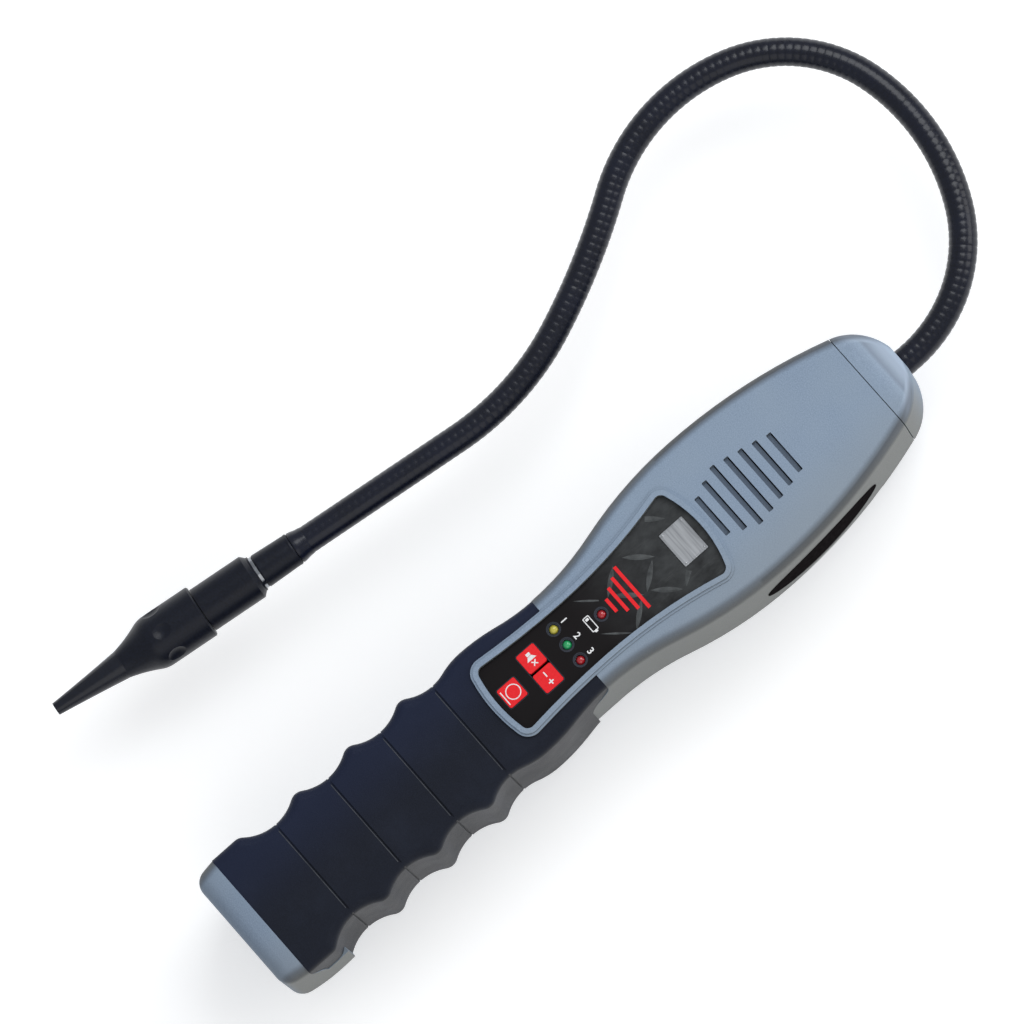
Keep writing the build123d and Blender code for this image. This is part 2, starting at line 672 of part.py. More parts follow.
with BuildPart() as grip_sleeve:
    with BuildSketch(Plane.XY.offset(CORE_BACK_Z)) as sleeve_outline:
        with BuildLine():
            corner = (SLEEVE_BASE_HALF, valley(0) - base_run)
            Polyline((0, at(0)), (SLEEVE_BASE_HALF, at(0)), corner)
            for place in range(VALLEY_COUNT - 1):
                peak = (peak_half, valley(place + 0.5))
                ThreePointArc(corner, (VALLEY_HALF, valley(place)), peak)
                corner = peak
            bulge_start = (
                VALLEY_HALF + bulge_rise * bulge_share,
                at(last_valley_station) + BULGE_RUN * bulge_share,
            )
            scallop = ThreePointArc(corner, (VALLEY_HALF, at(last_valley_station)), bulge_start)
            bulge = TangentArc(scallop @ 1, (BULGE_HALF, at(bulge_station)), tangent=scallop % 1)
            fall_middle = (BULGE_HALF - fall_drop / 2, at(bulge_station + fall_run / 2))
            fall = TangentArc(bulge @ 1, fall_middle, tangent=(0, 1))
            foot = TangentArc(fall @ 1, (sleeve_top_half, at(WAIST_STATION)), tangent=fall % 1)
            Polyline(foot @ 1, (sleeve_top_half, at(WAIST_STATION + WALL)), (0, at(WAIST_STATION + WALL)))
            mirror(about=Plane.YZ)
        make_face()
        fillet(
            sleeve_outline.vertices().filter_by(
                lambda corner: abs(corner.X) > min(SLEEVE_BASE_HALF, peak_half) - 0.01
                and at(POMMEL_STATION) < corner.Y < valley(VALLEY_COUNT - 1)
            ),
            radius=PEAK_RADIUS,
        )
    extrude(amount=SLEEVE_FRONT_Z - CORE_BACK_Z)
    long_edges = grip_sleeve.edges().filter_by(Axis.X, reverse=True)
    fillet(long_edges.group_by(Axis.Z)[0], radius=SLEEVE_EDGE_RADIUS)
    add(rubber_region.part, mode=Mode.INTERSECT)
    long_edges = grip_sleeve.edges().filter_by(Axis.X, reverse=True)
    fillet(long_edges.group_by(Axis.Z)[-1], radius=SLEEVE_EDGE_RADIUS)
    # A fine line crosses the front and both sides at each valley.
    for place in range(VALLEY_COUNT):
        with BuildSketch(Plane.XZ.offset(-valley(place))):
            with Locations((0, FRONT_Z / 2)):
                Rectangle(2 * VALLEY_HALF + FAR, FRONT_Z + 2 * WALL)
            with Locations((0, 0)):
                inner_top = SLEEVE_FRONT_Z - GRIP_LINE_DEPTH
                inner_half = VALLEY_HALF - GRIP_LINE_DEPTH
                with BuildLine():
                    feet = (-inner_half, -FAR), (inner_half, -FAR)
                    Polyline(*feet, (inner_half, inner_top), (-inner_half, inner_top), close=True)
                make_face(mode=Mode.SUBTRACT)
        extrude(amount=GRIP_LINE_WIDTH / 2, both=True, mode=Mode.SUBTRACT)
    with BuildSketch(Plane.XZ.offset(-at(-FAR))):
        with Locations((0, CORE_FRONT_Z / 2 - FAR / 2)):
            RectangleRounded(2 * CORE_HALF, CORE_FRONT_Z + FAR, CORE_RADIUS)
    extrude(amount=-2 * FAR, mode=Mode.SUBTRACT)
    with BuildSketch(Plane.XY.offset(CORE_FRONT_Z - CORE_RADIUS)):
        add(label_outline(BEZEL_OUTER_WIDTH))
    extrude(amount=FAR, mode=Mode.SUBTRACT)
finish(grip_sleeve.part, "grip_sleeve")

# Label set into the bezel
with BuildPart() as label_plate:
    with BuildSketch(Plane.XY.offset(LABEL_FLOOR_Z)):
        add(label_outline(-LABEL_GAP))
        add(panel_openings(LAMP_HOLE_RADIUS), mode=Mode.SUBTRACT)
    extrude(amount=LABEL_THICKNESS)
finish(label_plate.part, "label_plate")

# Oval label on the right side, lying on the curved wall
with BuildPart() as side_label:
    with BuildSketch(Plane.YZ.offset(WAIST_HALF)):
        with Locations((at(SIDE_LABEL_STATION), SIDE_LABEL_Z)):
            Ellipse(SIDE_LABEL_LENGTH / 2, SIDE_LABEL_WIDTH / 2)
    extrude(amount=HEAD_HALF)
    with BuildSketch():
        add(housing_outline(-SIDE_LABEL_THICKNESS))
        add(housing_outline(0), mode=Mode.SUBTRACT)
    extrude(amount=FRONT_Z, mode=Mode.INTERSECT)
finish(side_label.part, "side_label")

# Keys: a square cap with a stem that presses its switch
key_bottom_z = KEY_TOP_Z - KEY_HEIGHT
stem_bottom_z = SWITCH_TOP_Z + SWITCH_GAP + KEY_TRAVEL
for name, place in KEY_PLACES.items():
    with BuildPart() as key:
        with BuildSketch(Plane.XY.offset(key_bottom_z)):
            with Locations(place):
                RectangleRounded(KEY_SIZE, KEY_SIZE, KEY_CORNER)
        extrude(amount=KEY_HEIGHT)
        with BuildSketch(Plane.XY.offset(key_bottom_z)):
            with Locations(place):
                Circle(KEY_STEM_RADIUS)
        extrude(amount=stem_bottom_z - key_bottom_z)
    finish(key.part, name + "_key")
    with BuildPart() as switch:
        with BuildSketch(Plane.XY.offset(BOARD_Z + BOARD_THICKNESS)):
            with Locations(place):
                RectangleRounded(SWITCH_SIZE, SWITCH_SIZE, KEY_CORNER)
        extrude(amount=SWITCH_HEIGHT)
        with BuildSketch(Plane.XY.offset(BOARD_Z + BOARD_THICKNESS + SWITCH_HEIGHT)):
            with Locations(place):
                Circle(KEY_STEM_RADIUS)
        extrude(amount=SWITCH_TOP_Z - BOARD_Z - BOARD_THICKNESS - SWITCH_HEIGHT)
    finish(switch.part, name + "_switch")

# Lamps: flanged at the board and domed at the label
lamp_base_z = BOARD_Z + BOARD_THICKNESS
for name, place in LAMP_PLACES.items():
    with BuildPart() as lamp:
        with BuildSketch(Plane(origin=(*place, 0), x_dir=(1, 0, 0), z_dir=(0, -1, 0))):
            with BuildLine():
                dome_z = LAMP_TOP_Z - LAMP_RADIUS
                Polyline(
                    (0, LAMP_TOP_Z),
                    (0, lamp_base_z),
                    (LAMP_FLANGE_RADIUS, lamp_base_z),
                    (LAMP_FLANGE_RADIUS, lamp_base_z + LAMP_FLANGE_HEIGHT),
                    (LAMP_RADIUS, lamp_base_z + LAMP_FLANGE_HEIGHT),
                    (LAMP_RADIUS, dome_z),
                )
                CenterArc((0, dome_z), LAMP_RADIUS, 0, 90)
            make_face()
        revolve(axis=Axis((*place, 0), (0, 0, 1)))
    finish(lamp.part, name)

with BuildPart() as circuit_board:
    with BuildSketch(Plane.XY.offset(BOARD_Z)):
        with Locations((0, at((BOARD_START + BOARD_END) / 2))):
            RectangleRounded(2 * BOARD_HALF, BOARD_END - BOARD_START, SLOT_WIDTH)
        with Locations(*BOARD_SPOTS):
            Circle(SMALL_SCREW_RADIUS + THREAD_CLEARANCE, mode=Mode.SUBTRACT)
    extrude(amount=BOARD_THICKNESS)
finish(circuit_board.part, "circuit_board")


def upward_screws(spots, seat_z, length, shank_radius, head_radius, head_height):
    """Screws driven upwards, their heads under the seat, with a cross recess in each head."""
    with BuildPart() as screws:
        with BuildSketch(Plane.XY.offset(seat_z - head_height)):
            with Locations(*spots):
                Circle(head_radius)
        extrude(amount=head_height)
        with BuildSketch(Plane.XY.offset(seat_z)):
            with Locations(*spots):
                Circle(shank_radius)
        extrude(amount=length)
        with BuildSketch(Plane.XY.offset(seat_z - head_height)):
            with Locations(*spots):
                Rectangle(head_radius * 1.2, SCREW_CROSS_WIDTH)
                Rectangle(SCREW_CROSS_WIDTH, head_radius * 1.2)
        extrude(amount=head_height / 2, mode=Mode.SUBTRACT)
    return screws.part


def small_screws(spots, seat_z, grip):
    length = SMALL_SCREW_LENGTH + grip - THREAD_CLEARANCE
    head = (SMALL_SCREW_HEAD_RADIUS, SMALL_SCREW_HEAD_HEIGHT)
    return upward_screws(spots, seat_z, length, SMALL_SCREW_RADIUS, *head)


finish(small_screws(BOARD_SPOTS, BOARD_Z, BOARD_THICKNESS), "board_screws")
finish(small_screws(TRAY_SPOTS, tray_z, TRAY_WALL), "tray_screws")
case_screw_seat = SCREW_SINK + SCREW_HEAD_HEIGHT
case_screw_length = PARTING_Z + SCREW_LENGTH - case_screw_seat - THREAD_CLEARANCE
finish(
    upward_screws(
        SCREW_SPOTS, case_screw_seat, case_screw_length, SCREW_RADIUS, SCREW_HEAD_RADIUS, SCREW_HEAD_HEIGHT
    ),
    "case_screws",
)

# Speaker: a shallow cone in a rim, with its magnet behind
speaker_top = CEILING_Z - SPEAKER_GAP
speaker_low = CEILING_Z - SPEAKER_DEPTH
with BuildPart() as speaker:
    with BuildSketch(Plane(origin=(0, at(SPEAKER_STATION), 0), x_dir=(1, 0, 0), z_dir=(0, -1, 0))):
        with BuildLine():
            Polyline(
                (0, speaker_top - SPEAKER_RIM),
                (0, speaker_low),
                (SPEAKER_MAGNET_RADIUS, speaker_low),
                (SPEAKER_MAGNET_RADIUS, speaker_low + SPEAKER_RIM),
                (SPEAKER_RADIUS, speaker_top - 2 * SPEAKER_RIM),
                (SPEAKER_RADIUS, speaker_top),
                (SPEAKER_RADIUS - SPEAKER_RIM, speaker_top),
                (SPEAKER_MAGNET_RADIUS / 2, speaker_top - 1.5 * SPEAKER_RIM),
                close=True,
            )
        make_face()
    revolve(axis=Axis((0, at(SPEAKER_STATION), 0), (0, 0, 1)))
finish(speaker.part, "speaker")

# Battery tray, hung from posts in the front shell
with BuildPart() as battery_tray:
    add(block((-tray_half, at(TRAY_START), tray_z), (tray_half, at(TRAY_END), tray_z + TRAY_WALL)))
    wall_low_z = cell_low_z + CELL_GAP
    add(block((-tray_half, at(TRAY_START), wall_low_z), (tray_half, at(TRAY_START + TRAY_WALL), tray_z)))
    add(block((-tray_half, at(TRAY_END - TRAY_WALL), wall_low_z), (tray_half, at(TRAY_END), tray_z)))
    with BuildSketch(Plane.XY.offset(tray_z)):
        with Locations(*TRAY_SPOTS):
            Circle(SMALL_SCREW_RADIUS + THREAD_CLEARANCE)
    extrude(amount=TRAY_WALL, mode=Mode.SUBTRACT)
finish(battery_tray.part, "battery_tray")

# Four cells in two lines that point opposite ways, as they are wired in series
for side, side_name in ((-1, "left"), (1, "right")):
    for row, row_name in ((0, "rear"), (1, "fore")):
        share = row * (CELL_LENGTH + CELL_GAP)
        flat_end = line_start + SPRING_LENGTH + share if side < 0 else line_end - SPRING_LENGTH - share
        with BuildPart() as cell:
            with BuildSketch(Plane.XZ.offset(-at(flat_end))):
                with Locations((side * cell_x, cell_z)):
                    Circle(CELL_RADIUS)
            extrude(amount=side * (CELL_LENGTH - CELL_NUB_HEIGHT))
            with BuildSketch(Plane.XZ.offset(side * (CELL_LENGTH - CELL_NUB_HEIGHT) - at(flat_end))):
                with Locations((side * cell_x, cell_z)):
                    Circle(CELL_NUB_RADIUS)
            extrude(amount=side * CELL_NUB_HEIGHT)
        finish(cell.part, f"battery_cell_{side_name}_{row_name if side < 0 else ('fore', 'rear')[row]}")

# Each line has a bowed leaf spring at its flat end.
with BuildPart() as battery_springs:
    for side, foot in ((-1, line_start), (1, line_end)):
        reach = SPRING_LENGTH - CELL_GAP
        inner_half = SPRING_HALF_HEIGHT - 2 * SPRING_THICKNESS
        leaf_plane = Plane(origin=(side * cell_x, at(foot), cell_z), x_dir=(0, 0, 1), z_dir=(side, 0, 0))
        with BuildSketch(leaf_plane):
            with BuildLine():
                ThreePointArc((-SPRING_HALF_HEIGHT, 0), (0, reach), (SPRING_HALF_HEIGHT, 0))
                Line((SPRING_HALF_HEIGHT, 0), (inner_half, 0))
                ThreePointArc((inner_half, 0), (0, reach - SPRING_THICKNESS), (-inner_half, 0))
                Line((-inner_half, 0), (-SPRING_HALF_HEIGHT, 0))
            make_face()
        extrude(amount=SPRING_WIDTH / 2, both=True)
finish(battery_springs.part, "battery_springs")

with BuildPart() as contact_plates:
    for side in (-1, 1):
        for plate_start in (TRAY_START + TRAY_WALL, TRAY_END - TRAY_WALL - CONTACT_THICKNESS):
            plate_end = plate_start + CONTACT_THICKNESS
            plate_x = side * cell_x
            add(
                block(
                    (plate_x - CONTACT_WIDTH / 2, at(plate_start), cell_z - CONTACT_WIDTH / 2),
                    (plate_x + CONTACT_WIDTH / 2, at(plate_end), cell_z + CONTACT_WIDTH / 2),
                )
            )
finish(contact_plates.part, "contact_plates")

# Battery door: a plate with a tongue along each edge, and ribs to push it with
with BuildPart() as battery_door:
    add(block((-door_half, at(DOOR_BUTT_GAP), DOOR_OUTER_Z), (door_half, at(DOOR_END), tongue_high)))
    add(block((-groove_half, at(DOOR_BUTT_GAP), tongue_low), (groove_half, at(DOOR_END), tongue_high)))
    with BuildSketch(Plane.XY.offset(DOOR_OUTER_Z)):
        with Locations((0, at(DOOR_GRIP_STATION + DOOR_GRIP_PITCH * (DOOR_GRIP_COUNT - 1) / 2))):
            with GridLocations(0, DOOR_GRIP_PITCH, 1, DOOR_GRIP_COUNT):
                SlotOverall(DOOR_GRIP_LENGTH, DOOR_GRIP_WIDTH)
    extrude(amount=DOOR_GRIP_DEPTH, mode=Mode.SUBTRACT)
finish(battery_door.part, "battery_door")


def bend_centre(point, heading, radius, turn):
    """The centre of a bend that starts at the point."""
    side = 1 if turn > 0 else -1
    return point[0] - side * radius * sin(radians(heading)), point[1] + side * radius * cos(radians(heading))


def bend_end(point, heading, radius, turn):
    """The place at the end of a bend."""
    centre = bend_centre(point, heading, radius, turn)
    side = 1 if turn > 0 else -1
    swing = radians(heading + turn)
    return centre[0] + side * radius * sin(swing), centre[1] - side * radius * cos(swing)


def ahead(point, heading, length):
    """The place a straight length ahead of the point."""
    return point[0] + length * cos(radians(heading)), point[1] + length * sin(radians(heading))


def half_ball(point, heading, radius):
    """Half a ball about a joint, bulging along the heading."""
    direction = (cos(radians(heading)), sin(radians(heading)), 0)
    origin = (*point, NECK_Z)
    with BuildPart() as half:
        with BuildSketch(Plane(origin=origin, x_dir=direction, z_dir=(0, 0, 1))):
            with BuildLine():
                Polyline((0, radius), (0, 0), (radius, 0))
                CenterArc((0, 0), radius, 0, 90)
            make_face()
        revolve(axis=Axis(origin, direction))
    return half.part


# The neck is a chain of stiff spans, each with a ball at its far end in the next one's socket.
neck_start = (0.0, at(NECK_START_STATION))
with BuildPart() as neck_base:
    with BuildSketch(Plane.XZ.offset(-at(NECK_INNER_STATION))):
        with Locations((0, NECK_Z)):
            Circle(NECK_RADIUS)
    extrude(amount=NECK_INNER_STATION - NECK_START_STATION)
    add(half_ball(neck_start, 90.0, NECK_RADIUS))
finish(neck_base.part, "neck_base")

place, heading = neck_start, NECK_START_HEADING
for number, (radius, turn) in enumerate(NECK_BENDS, 1):
    side = 1 if turn > 0 else -1
    skip_turn = side * SOCKET_START / radius * 180 / pi
    tube_start = bend_end(place, heading, radius, skip_turn)
    tube_direction = (cos(radians(heading + skip_turn)), sin(radians(heading + skip_turn)), 0)
    far_end = bend_end(place, heading, radius, turn)
    with BuildPart() as span:
        with BuildSketch(Plane(origin=(*tube_start, NECK_Z), x_dir=(0, 0, 1), z_dir=tube_direction)):
            Circle(NECK_RADIUS)
        bend_axis = Axis((*bend_centre(place, heading, radius, turn), NECK_Z), (0, 0, side))
        revolve(axis=bend_axis, revolution_arc=abs(turn - skip_turn))
        add(half_ball(far_end, heading + turn, NECK_RADIUS))
        add(half_ball(place, heading, NECK_RADIUS + BALL_CLEARANCE), mode=Mode.SUBTRACT)
    finish(span.part, f"neck_span_{number}")
    print("joint", number, "at", [round(value, 3) for value in place], "heading", round(heading, 2))
    place, heading = far_end, heading + turn

# The last span is straight and ends in the ferrule.
last_place = place
tip_direction = (cos(radians(heading)), sin(radians(heading)), 0)
tip_start = ahead(last_place, heading, NECK_LAST_LENGTH)
print("joint", len(NECK_BENDS) + 1, "at", [round(value, 3) for value in place], "heading", round(heading, 2))
print("tip axis from", [round(value, 3) for value in tip_start])
print("tip axis towards", [round(value, 5) for value in tip_direction])
with BuildPart() as last_span:
    tube_start = ahead(last_place, heading, SOCKET_START)
    with BuildSketch(Plane(origin=(*tube_start, NECK_Z), x_dir=(0, 0, 1), z_dir=tip_direction)):
        Circle(NECK_RADIUS)
    extrude(amount=NECK_LAST_LENGTH + NECK_IN_FERRULE - SOCKET_START)
    add(half_ball(last_place, heading, NECK_RADIUS + BALL_CLEARANCE), mode=Mode.SUBTRACT)
finish(last_span.part, f"neck_span_{len(NECK_BENDS) + 1}")

# Collar that anchors the neck in the shells
groove_low = (ANCHOR_LENGTH - ANCHOR_GROOVE_WIDTH) / 2
with BuildPart() as neck_anchor:
    with BuildSketch(Plane(origin=(0, at(NECK_INNER_STATION), NECK_Z), x_dir=(0, 1, 0), z_dir=(0, 0, 1))):
        with BuildLine():
            Polyline(
                (0, NECK_RADIUS + CRIMP_GAP),
                (ANCHOR_LENGTH, NECK_RADIUS + CRIMP_GAP),
                (ANCHOR_LENGTH, ANCHOR_RADIUS),
                (ANCHOR_LENGTH - groove_low, ANCHOR_RADIUS),
                (ANCHOR_LENGTH - groove_low, ANCHOR_GROOVE_RADIUS),
                (groove_low, ANCHOR_GROOVE_RADIUS),
                (groove_low, ANCHOR_RADIUS),
                (0, ANCHOR_RADIUS),
                close=True,
            )
        make_face()
    revolve(axis=Axis((0, 0, NECK_Z), (0, 1, 0)))
finish(neck_anchor.part, "neck_anchor")

# Everything at the sensor end is turned about the last span's axis.
tip_plane = Plane(origin=(*tip_start, NECK_Z), x_dir=tip_direction, z_dir=(0, 0, 1))
tip_axis = Axis((*tip_start, NECK_Z), tip_direction)


def tip_section(along):
    """The plane square to the tip's axis at a distance along it."""
    origin = (tip_start[0] + along * tip_direction[0], tip_start[1] + along * tip_direction[1], NECK_Z)
    return Plane(origin=origin, x_dir=(0, 0, 1), z_dir=tip_direction)


with BuildPart() as ferrule:
    with BuildSketch(tip_plane) as ferrule_profile:
        with BuildLine():
            Polyline(
                (0, NECK_RADIUS + CRIMP_GAP),
                (NECK_IN_FERRULE + CRIMP_GAP, NECK_RADIUS + CRIMP_GAP),
                (NECK_IN_FERRULE + CRIMP_GAP, STEM_RADIUS + CRIMP_GAP),
                (FERRULE_LENGTH, STEM_RADIUS + CRIMP_GAP),
                (FERRULE_LENGTH, FERRULE_END_RADIUS),
                (0, FERRULE_START_RADIUS),
                close=True,
            )
        make_face()
        fillet(ferrule_profile.vertices().sort_by(Axis.Y)[-2:], radius=FERRULE_ROUND)
    revolve(axis=tip_axis)
finish(ferrule.part, "ferrule")

with BuildPart() as retaining_ring:
    with BuildSketch(tip_section(FERRULE_LENGTH)):
        Circle(RING_RADIUS)
        Circle(STEM_RADIUS + CRIMP_GAP, mode=Mode.SUBTRACT)
    extrude(amount=RING_LENGTH)
finish(retaining_ring.part, "retaining_ring")

with BuildPart() as sensor_holder:
    with BuildSketch(tip_plane):
        with BuildLine():
            Polyline(
                (FERRULE_LENGTH - STEM_IN_FERRULE, 0),
                (HOLDER_END, 0),
                (HOLDER_END, SOCKET_RADIUS),
                (HOLDER_SHOULDER, SOCKET_RADIUS),
                (HOLDER_SHOULDER, HOLDER_RADIUS),
                (HOLDER_START + HOLDER_CHAMFER, HOLDER_RADIUS),
                (HOLDER_START, HOLDER_NECK_RADIUS),
                (FERRULE_LENGTH + RING_LENGTH, HOLDER_NECK_RADIUS),
                (FERRULE_LENGTH + RING_LENGTH, STEM_RADIUS),
                (FERRULE_LENGTH - STEM_IN_FERRULE, STEM_RADIUS),
                close=True,
            )
        make_face()
    revolve(axis=tip_axis)
    with BuildSketch(tip_section(HOLDER_END)):
        Circle(SENSOR_RADIUS + SENSOR_GAP)
    extrude(amount=SENSOR_START - HOLDER_END, mode=Mode.SUBTRACT)
    with BuildSketch(tip_section(SENSOR_START)):
        with PolarLocations(PIN_CIRCLE_RADIUS, PIN_COUNT):
            Circle(PIN_RADIUS + CRIMP_GAP)
    extrude(amount=-PIN_LENGTH - SENSOR_GAP, mode=Mode.SUBTRACT)
finish(sensor_holder.part, "sensor_holder")

with BuildPart() as sensor:
    with BuildSketch(tip_section(SENSOR_START)):
        Circle(SENSOR_RADIUS)
    extrude(amount=SENSOR_END - SENSOR_START)
    with BuildSketch(tip_section(SENSOR_END)):
        Circle(SENSOR_RADIUS - 2 * SENSOR_RIM)
    extrude(amount=-SENSOR_RIM, mode=Mode.SUBTRACT)
    with BuildSketch(tip_section(SENSOR_START)):
        with PolarLocations(PIN_CIRCLE_RADIUS, PIN_COUNT):
            Circle(PIN_RADIUS)
    extrude(amount=-PIN_LENGTH)
finish(sensor.part, "sensor")

# Sensor cover: a barrel that slips over the holder, closed by a hollow-sided cone
cover_bore = SOCKET_RADIUS + COVER_CLEARANCE
with BuildPart() as sensor_cover:
    with BuildSketch(tip_plane):
        with BuildLine():
            Polyline(
                (COVER_START + COVER_LIP, COVER_RADIUS),
                (COVER_START, COVER_RADIUS - COVER_LIP),
                (COVER_START, cover_bore),
                (CHAMBER_END, cover_bore),
                (COVER_END - NOZZLE_SPIGOT_LENGTH, NOZZLE_SPIGOT_RADIUS + CRIMP_GAP),
                (COVER_END, NOZZLE_SPIGOT_RADIUS + CRIMP_GAP),
                (COVER_END, COVER_TIP_RADIUS),
            )
            barrel = Line((COVER_START + COVER_LIP, COVER_RADIUS), (COVER_BARREL_END, COVER_RADIUS))
            hollow_start = (COVER_BARREL_END + COVER_SHOULDER_RUN, COVER_RADIUS - COVER_SHOULDER_DROP)
            shoulder = TangentArc(barrel @ 1, hollow_start, tangent=(1, 0))
            TangentArc(shoulder @ 1, (COVER_END, COVER_TIP_RADIUS), tangent=shoulder % 1)
        make_face()
    revolve(axis=tip_axis)
    with Locations(tip_section(COVER_BARREL_END - SCOOP_FROM_END).location):
        with PolarLocations(COVER_RADIUS + SCOOP_RADIUS - SCOOP_DEPTH, SCOOP_COUNT):
            Sphere(SCOOP_RADIUS, mode=Mode.SUBTRACT)
finish(sensor_cover.part, "sensor_cover")

with BuildPart() as filter_disc:
    with BuildSketch(tip_section(CHAMBER_END - FILTER_THICKNESS - FILTER_GAP)):
        Circle(cover_bore - FILTER_GAP)
    extrude(amount=FILTER_THICKNESS)
finish(filter_disc.part, "filter_disc")

with BuildPart() as nozzle:
    nozzle_end = COVER_END + NOZZLE_LENGTH
    with BuildSketch(tip_plane):
        with BuildLine():
            Polyline(
                (nozzle_end, NOZZLE_TIP_RADIUS),
                (nozzle_end, NOZZLE_BORE_RADIUS),
                (COVER_END - NOZZLE_SPIGOT_LENGTH + FILTER_GAP, NOZZLE_BORE_RADIUS),
                (COVER_END - NOZZLE_SPIGOT_LENGTH + FILTER_GAP, NOZZLE_SPIGOT_RADIUS),
                (COVER_END, NOZZLE_SPIGOT_RADIUS),
                (COVER_END, COVER_TIP_RADIUS),
            )
            middle = (COVER_END + NOZZLE_LENGTH / 2, NOZZLE_MID_RADIUS)
            ThreePointArc((COVER_END, COVER_TIP_RADIUS), middle, (nozzle_end, NOZZLE_TIP_RADIUS))
        make_face()
    revolve(axis=tip_axis)
finish(nozzle.part, "nozzle")
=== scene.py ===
import json
from math import cos, pi, radians, sin, sqrt

import bmesh
import bpy
from mathutils import Matrix, Vector


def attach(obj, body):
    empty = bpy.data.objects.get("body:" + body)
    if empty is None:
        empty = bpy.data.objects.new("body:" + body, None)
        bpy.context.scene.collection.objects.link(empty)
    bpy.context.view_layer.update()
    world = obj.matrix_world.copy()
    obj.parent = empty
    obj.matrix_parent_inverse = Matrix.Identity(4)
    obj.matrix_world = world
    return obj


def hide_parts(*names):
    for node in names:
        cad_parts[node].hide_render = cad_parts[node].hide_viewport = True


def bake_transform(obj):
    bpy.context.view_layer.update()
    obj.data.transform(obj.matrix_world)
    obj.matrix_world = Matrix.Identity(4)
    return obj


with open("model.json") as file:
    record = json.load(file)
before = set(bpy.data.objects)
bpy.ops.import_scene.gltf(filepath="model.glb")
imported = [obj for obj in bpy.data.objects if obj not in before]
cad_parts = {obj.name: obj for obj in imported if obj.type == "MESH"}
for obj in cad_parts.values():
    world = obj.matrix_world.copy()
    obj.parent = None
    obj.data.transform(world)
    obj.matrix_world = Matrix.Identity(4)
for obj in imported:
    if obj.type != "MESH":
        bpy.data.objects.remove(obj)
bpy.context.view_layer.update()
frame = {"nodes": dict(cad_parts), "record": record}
NODES = frame["nodes"]

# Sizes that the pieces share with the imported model, in mm. A station is a distance from the butt.
ORIGIN_STATION = 193.0
LABEL_TOP_Z = 39.45
LABEL_WAIST_STATION = 137.0
LABEL_WAIST_HALF = 10.4
LABEL_LOW_STATION = 103.5
LABEL_HIGH_STATION = 184.2
LAMP_STATION = 130.6
LAMP_SPACING = 6.15
LOW_LAMP_STATION = 144.3
KEY_TOP_Z = 39.75
KEY_SIZE = 6.8
KEY_GAP = 0.94
POWER_KEY_STATION = 108.9
KEY_PAIR_STATION = 119.9
GRIP_FRONT_Z = 39.6
VALLEY_STATION = 29.9
VALLEY_PITCH = 20.75
VALLEY_COUNT = 4
NECK_START_Y = 47.0
NECK_Z = 20.0

# Sizes of what the scene adds, in mm.
PRINT_HEIGHT = 0.04
BATTERY_SIGN_STATION = 140.0
NUMERAL_STATION = 134.6
NUMERAL_SIZE = 3.1
PLATE_STATION = 177.0
PLATE_WIDTH = 12.5
PLATE_LENGTH = 9.1
PLATE_HEIGHT = 0.3
PLATE_RIM = 0.4
RIVET_INSET = 0.9
MM = 0.001


def at(station):
    """The Y in mm of a distance along the body, measured from the butt."""
    return station - ORIGIN_STATION


def srgb(red, green, blue):
    """A display colour, 0 to 255, as the linear colour that a shader takes."""
    shares = [value / 255 for value in (red, green, blue)]
    return tuple(s / 12.92 if s <= 0.04045 else ((s + 0.055) / 1.055) ** 2.4 for s in shares) + (1.0,)


# ---------------------------------------------------------------- materials


class Look:
    """One material and the nodes that are added to it."""

    def __init__(self, name, **settings):
        self.material = bpy.data.materials.new(name)
        self.material.use_nodes = True
        self.tree = self.material.node_tree
        self.shader = self.tree.nodes["Principled BSDF"]
        for socket, value in settings.items():
            self.shader.inputs[socket.replace("_", " ")].default_value = value
        self.place = self.node("ShaderNodeTexCoord").outputs["Object"]

    def node(self, kind, **inputs):
        """A new node with its inputs set or linked by name."""
        made = self.tree.nodes.new(kind)
        for socket, value in inputs.items():
            self.put(value, made.inputs[socket.replace("_", " ")])
        return made

    def put(self, value, socket):
        """Links a socket to another, or sets it to a constant."""
        if isinstance(value, bpy.types.NodeSocket):
            self.tree.links.new(value, socket)
        else:
            socket.default_value = value

    def noise(self, scale, detail, roughness=0.5, stretch=(1, 1, 1)):
        """Grain in object space, scale in cells a metre."""
        mapping = self.node("ShaderNodeMapping", Vector=self.place, Scale=stretch)
        made = self.node(
            "ShaderNodeTexNoise", Vector=mapping.outputs[0], Scale=scale, Detail=detail, Roughness=roughness
        )
        return made.outputs["Fac"]

    def spread(self, value, low, high, to_low=0.0, to_high=1.0, smooth=False):
        """A value between two limits, spread between two others and held at its ends."""
        made = self.node(
            "ShaderNodeMapRange", Value=value, From_Min=low, From_Max=high, To_Min=to_low, To_Max=to_high
        )
        if smooth:
            made.interpolation_type = "SMOOTHSTEP"
        return made.outputs["Result"]

    def math(self, operation, first, second=0.5):
        made = self.tree.nodes.new("ShaderNodeMath")
        made.operation = operation
        self.put(first, made.inputs[0])
        self.put(second, made.inputs[1])
        return made.outputs[0]

    def mix(self, factor, first, second):
        """One colour turning into another."""
        made = self.tree.nodes.new("ShaderNodeMix")
        made.data_type = "RGBA"
        for value, socket in ((factor, made.inputs[0]), (first, made.inputs[6]), (second, made.inputs[7])):
            self.put(value, socket)
        return made.outputs[2]

    def axes(self, vector):
        split = self.node("ShaderNodeSeparateXYZ", Vector=vector)
        return split.outputs["X"], split.outputs["Y"], split.outputs["Z"]

    def colour(self, value):
        self.put(value, self.shader.inputs["Base Color"])

    def relief(self, height, distance):
        """Bump whose full height is the distance, in metres."""
        made = self.node("ShaderNodeBump", Strength=1.0, Distance=distance, Height=height)
        self.put(made.outputs[0], self.shader.inputs["Normal"])


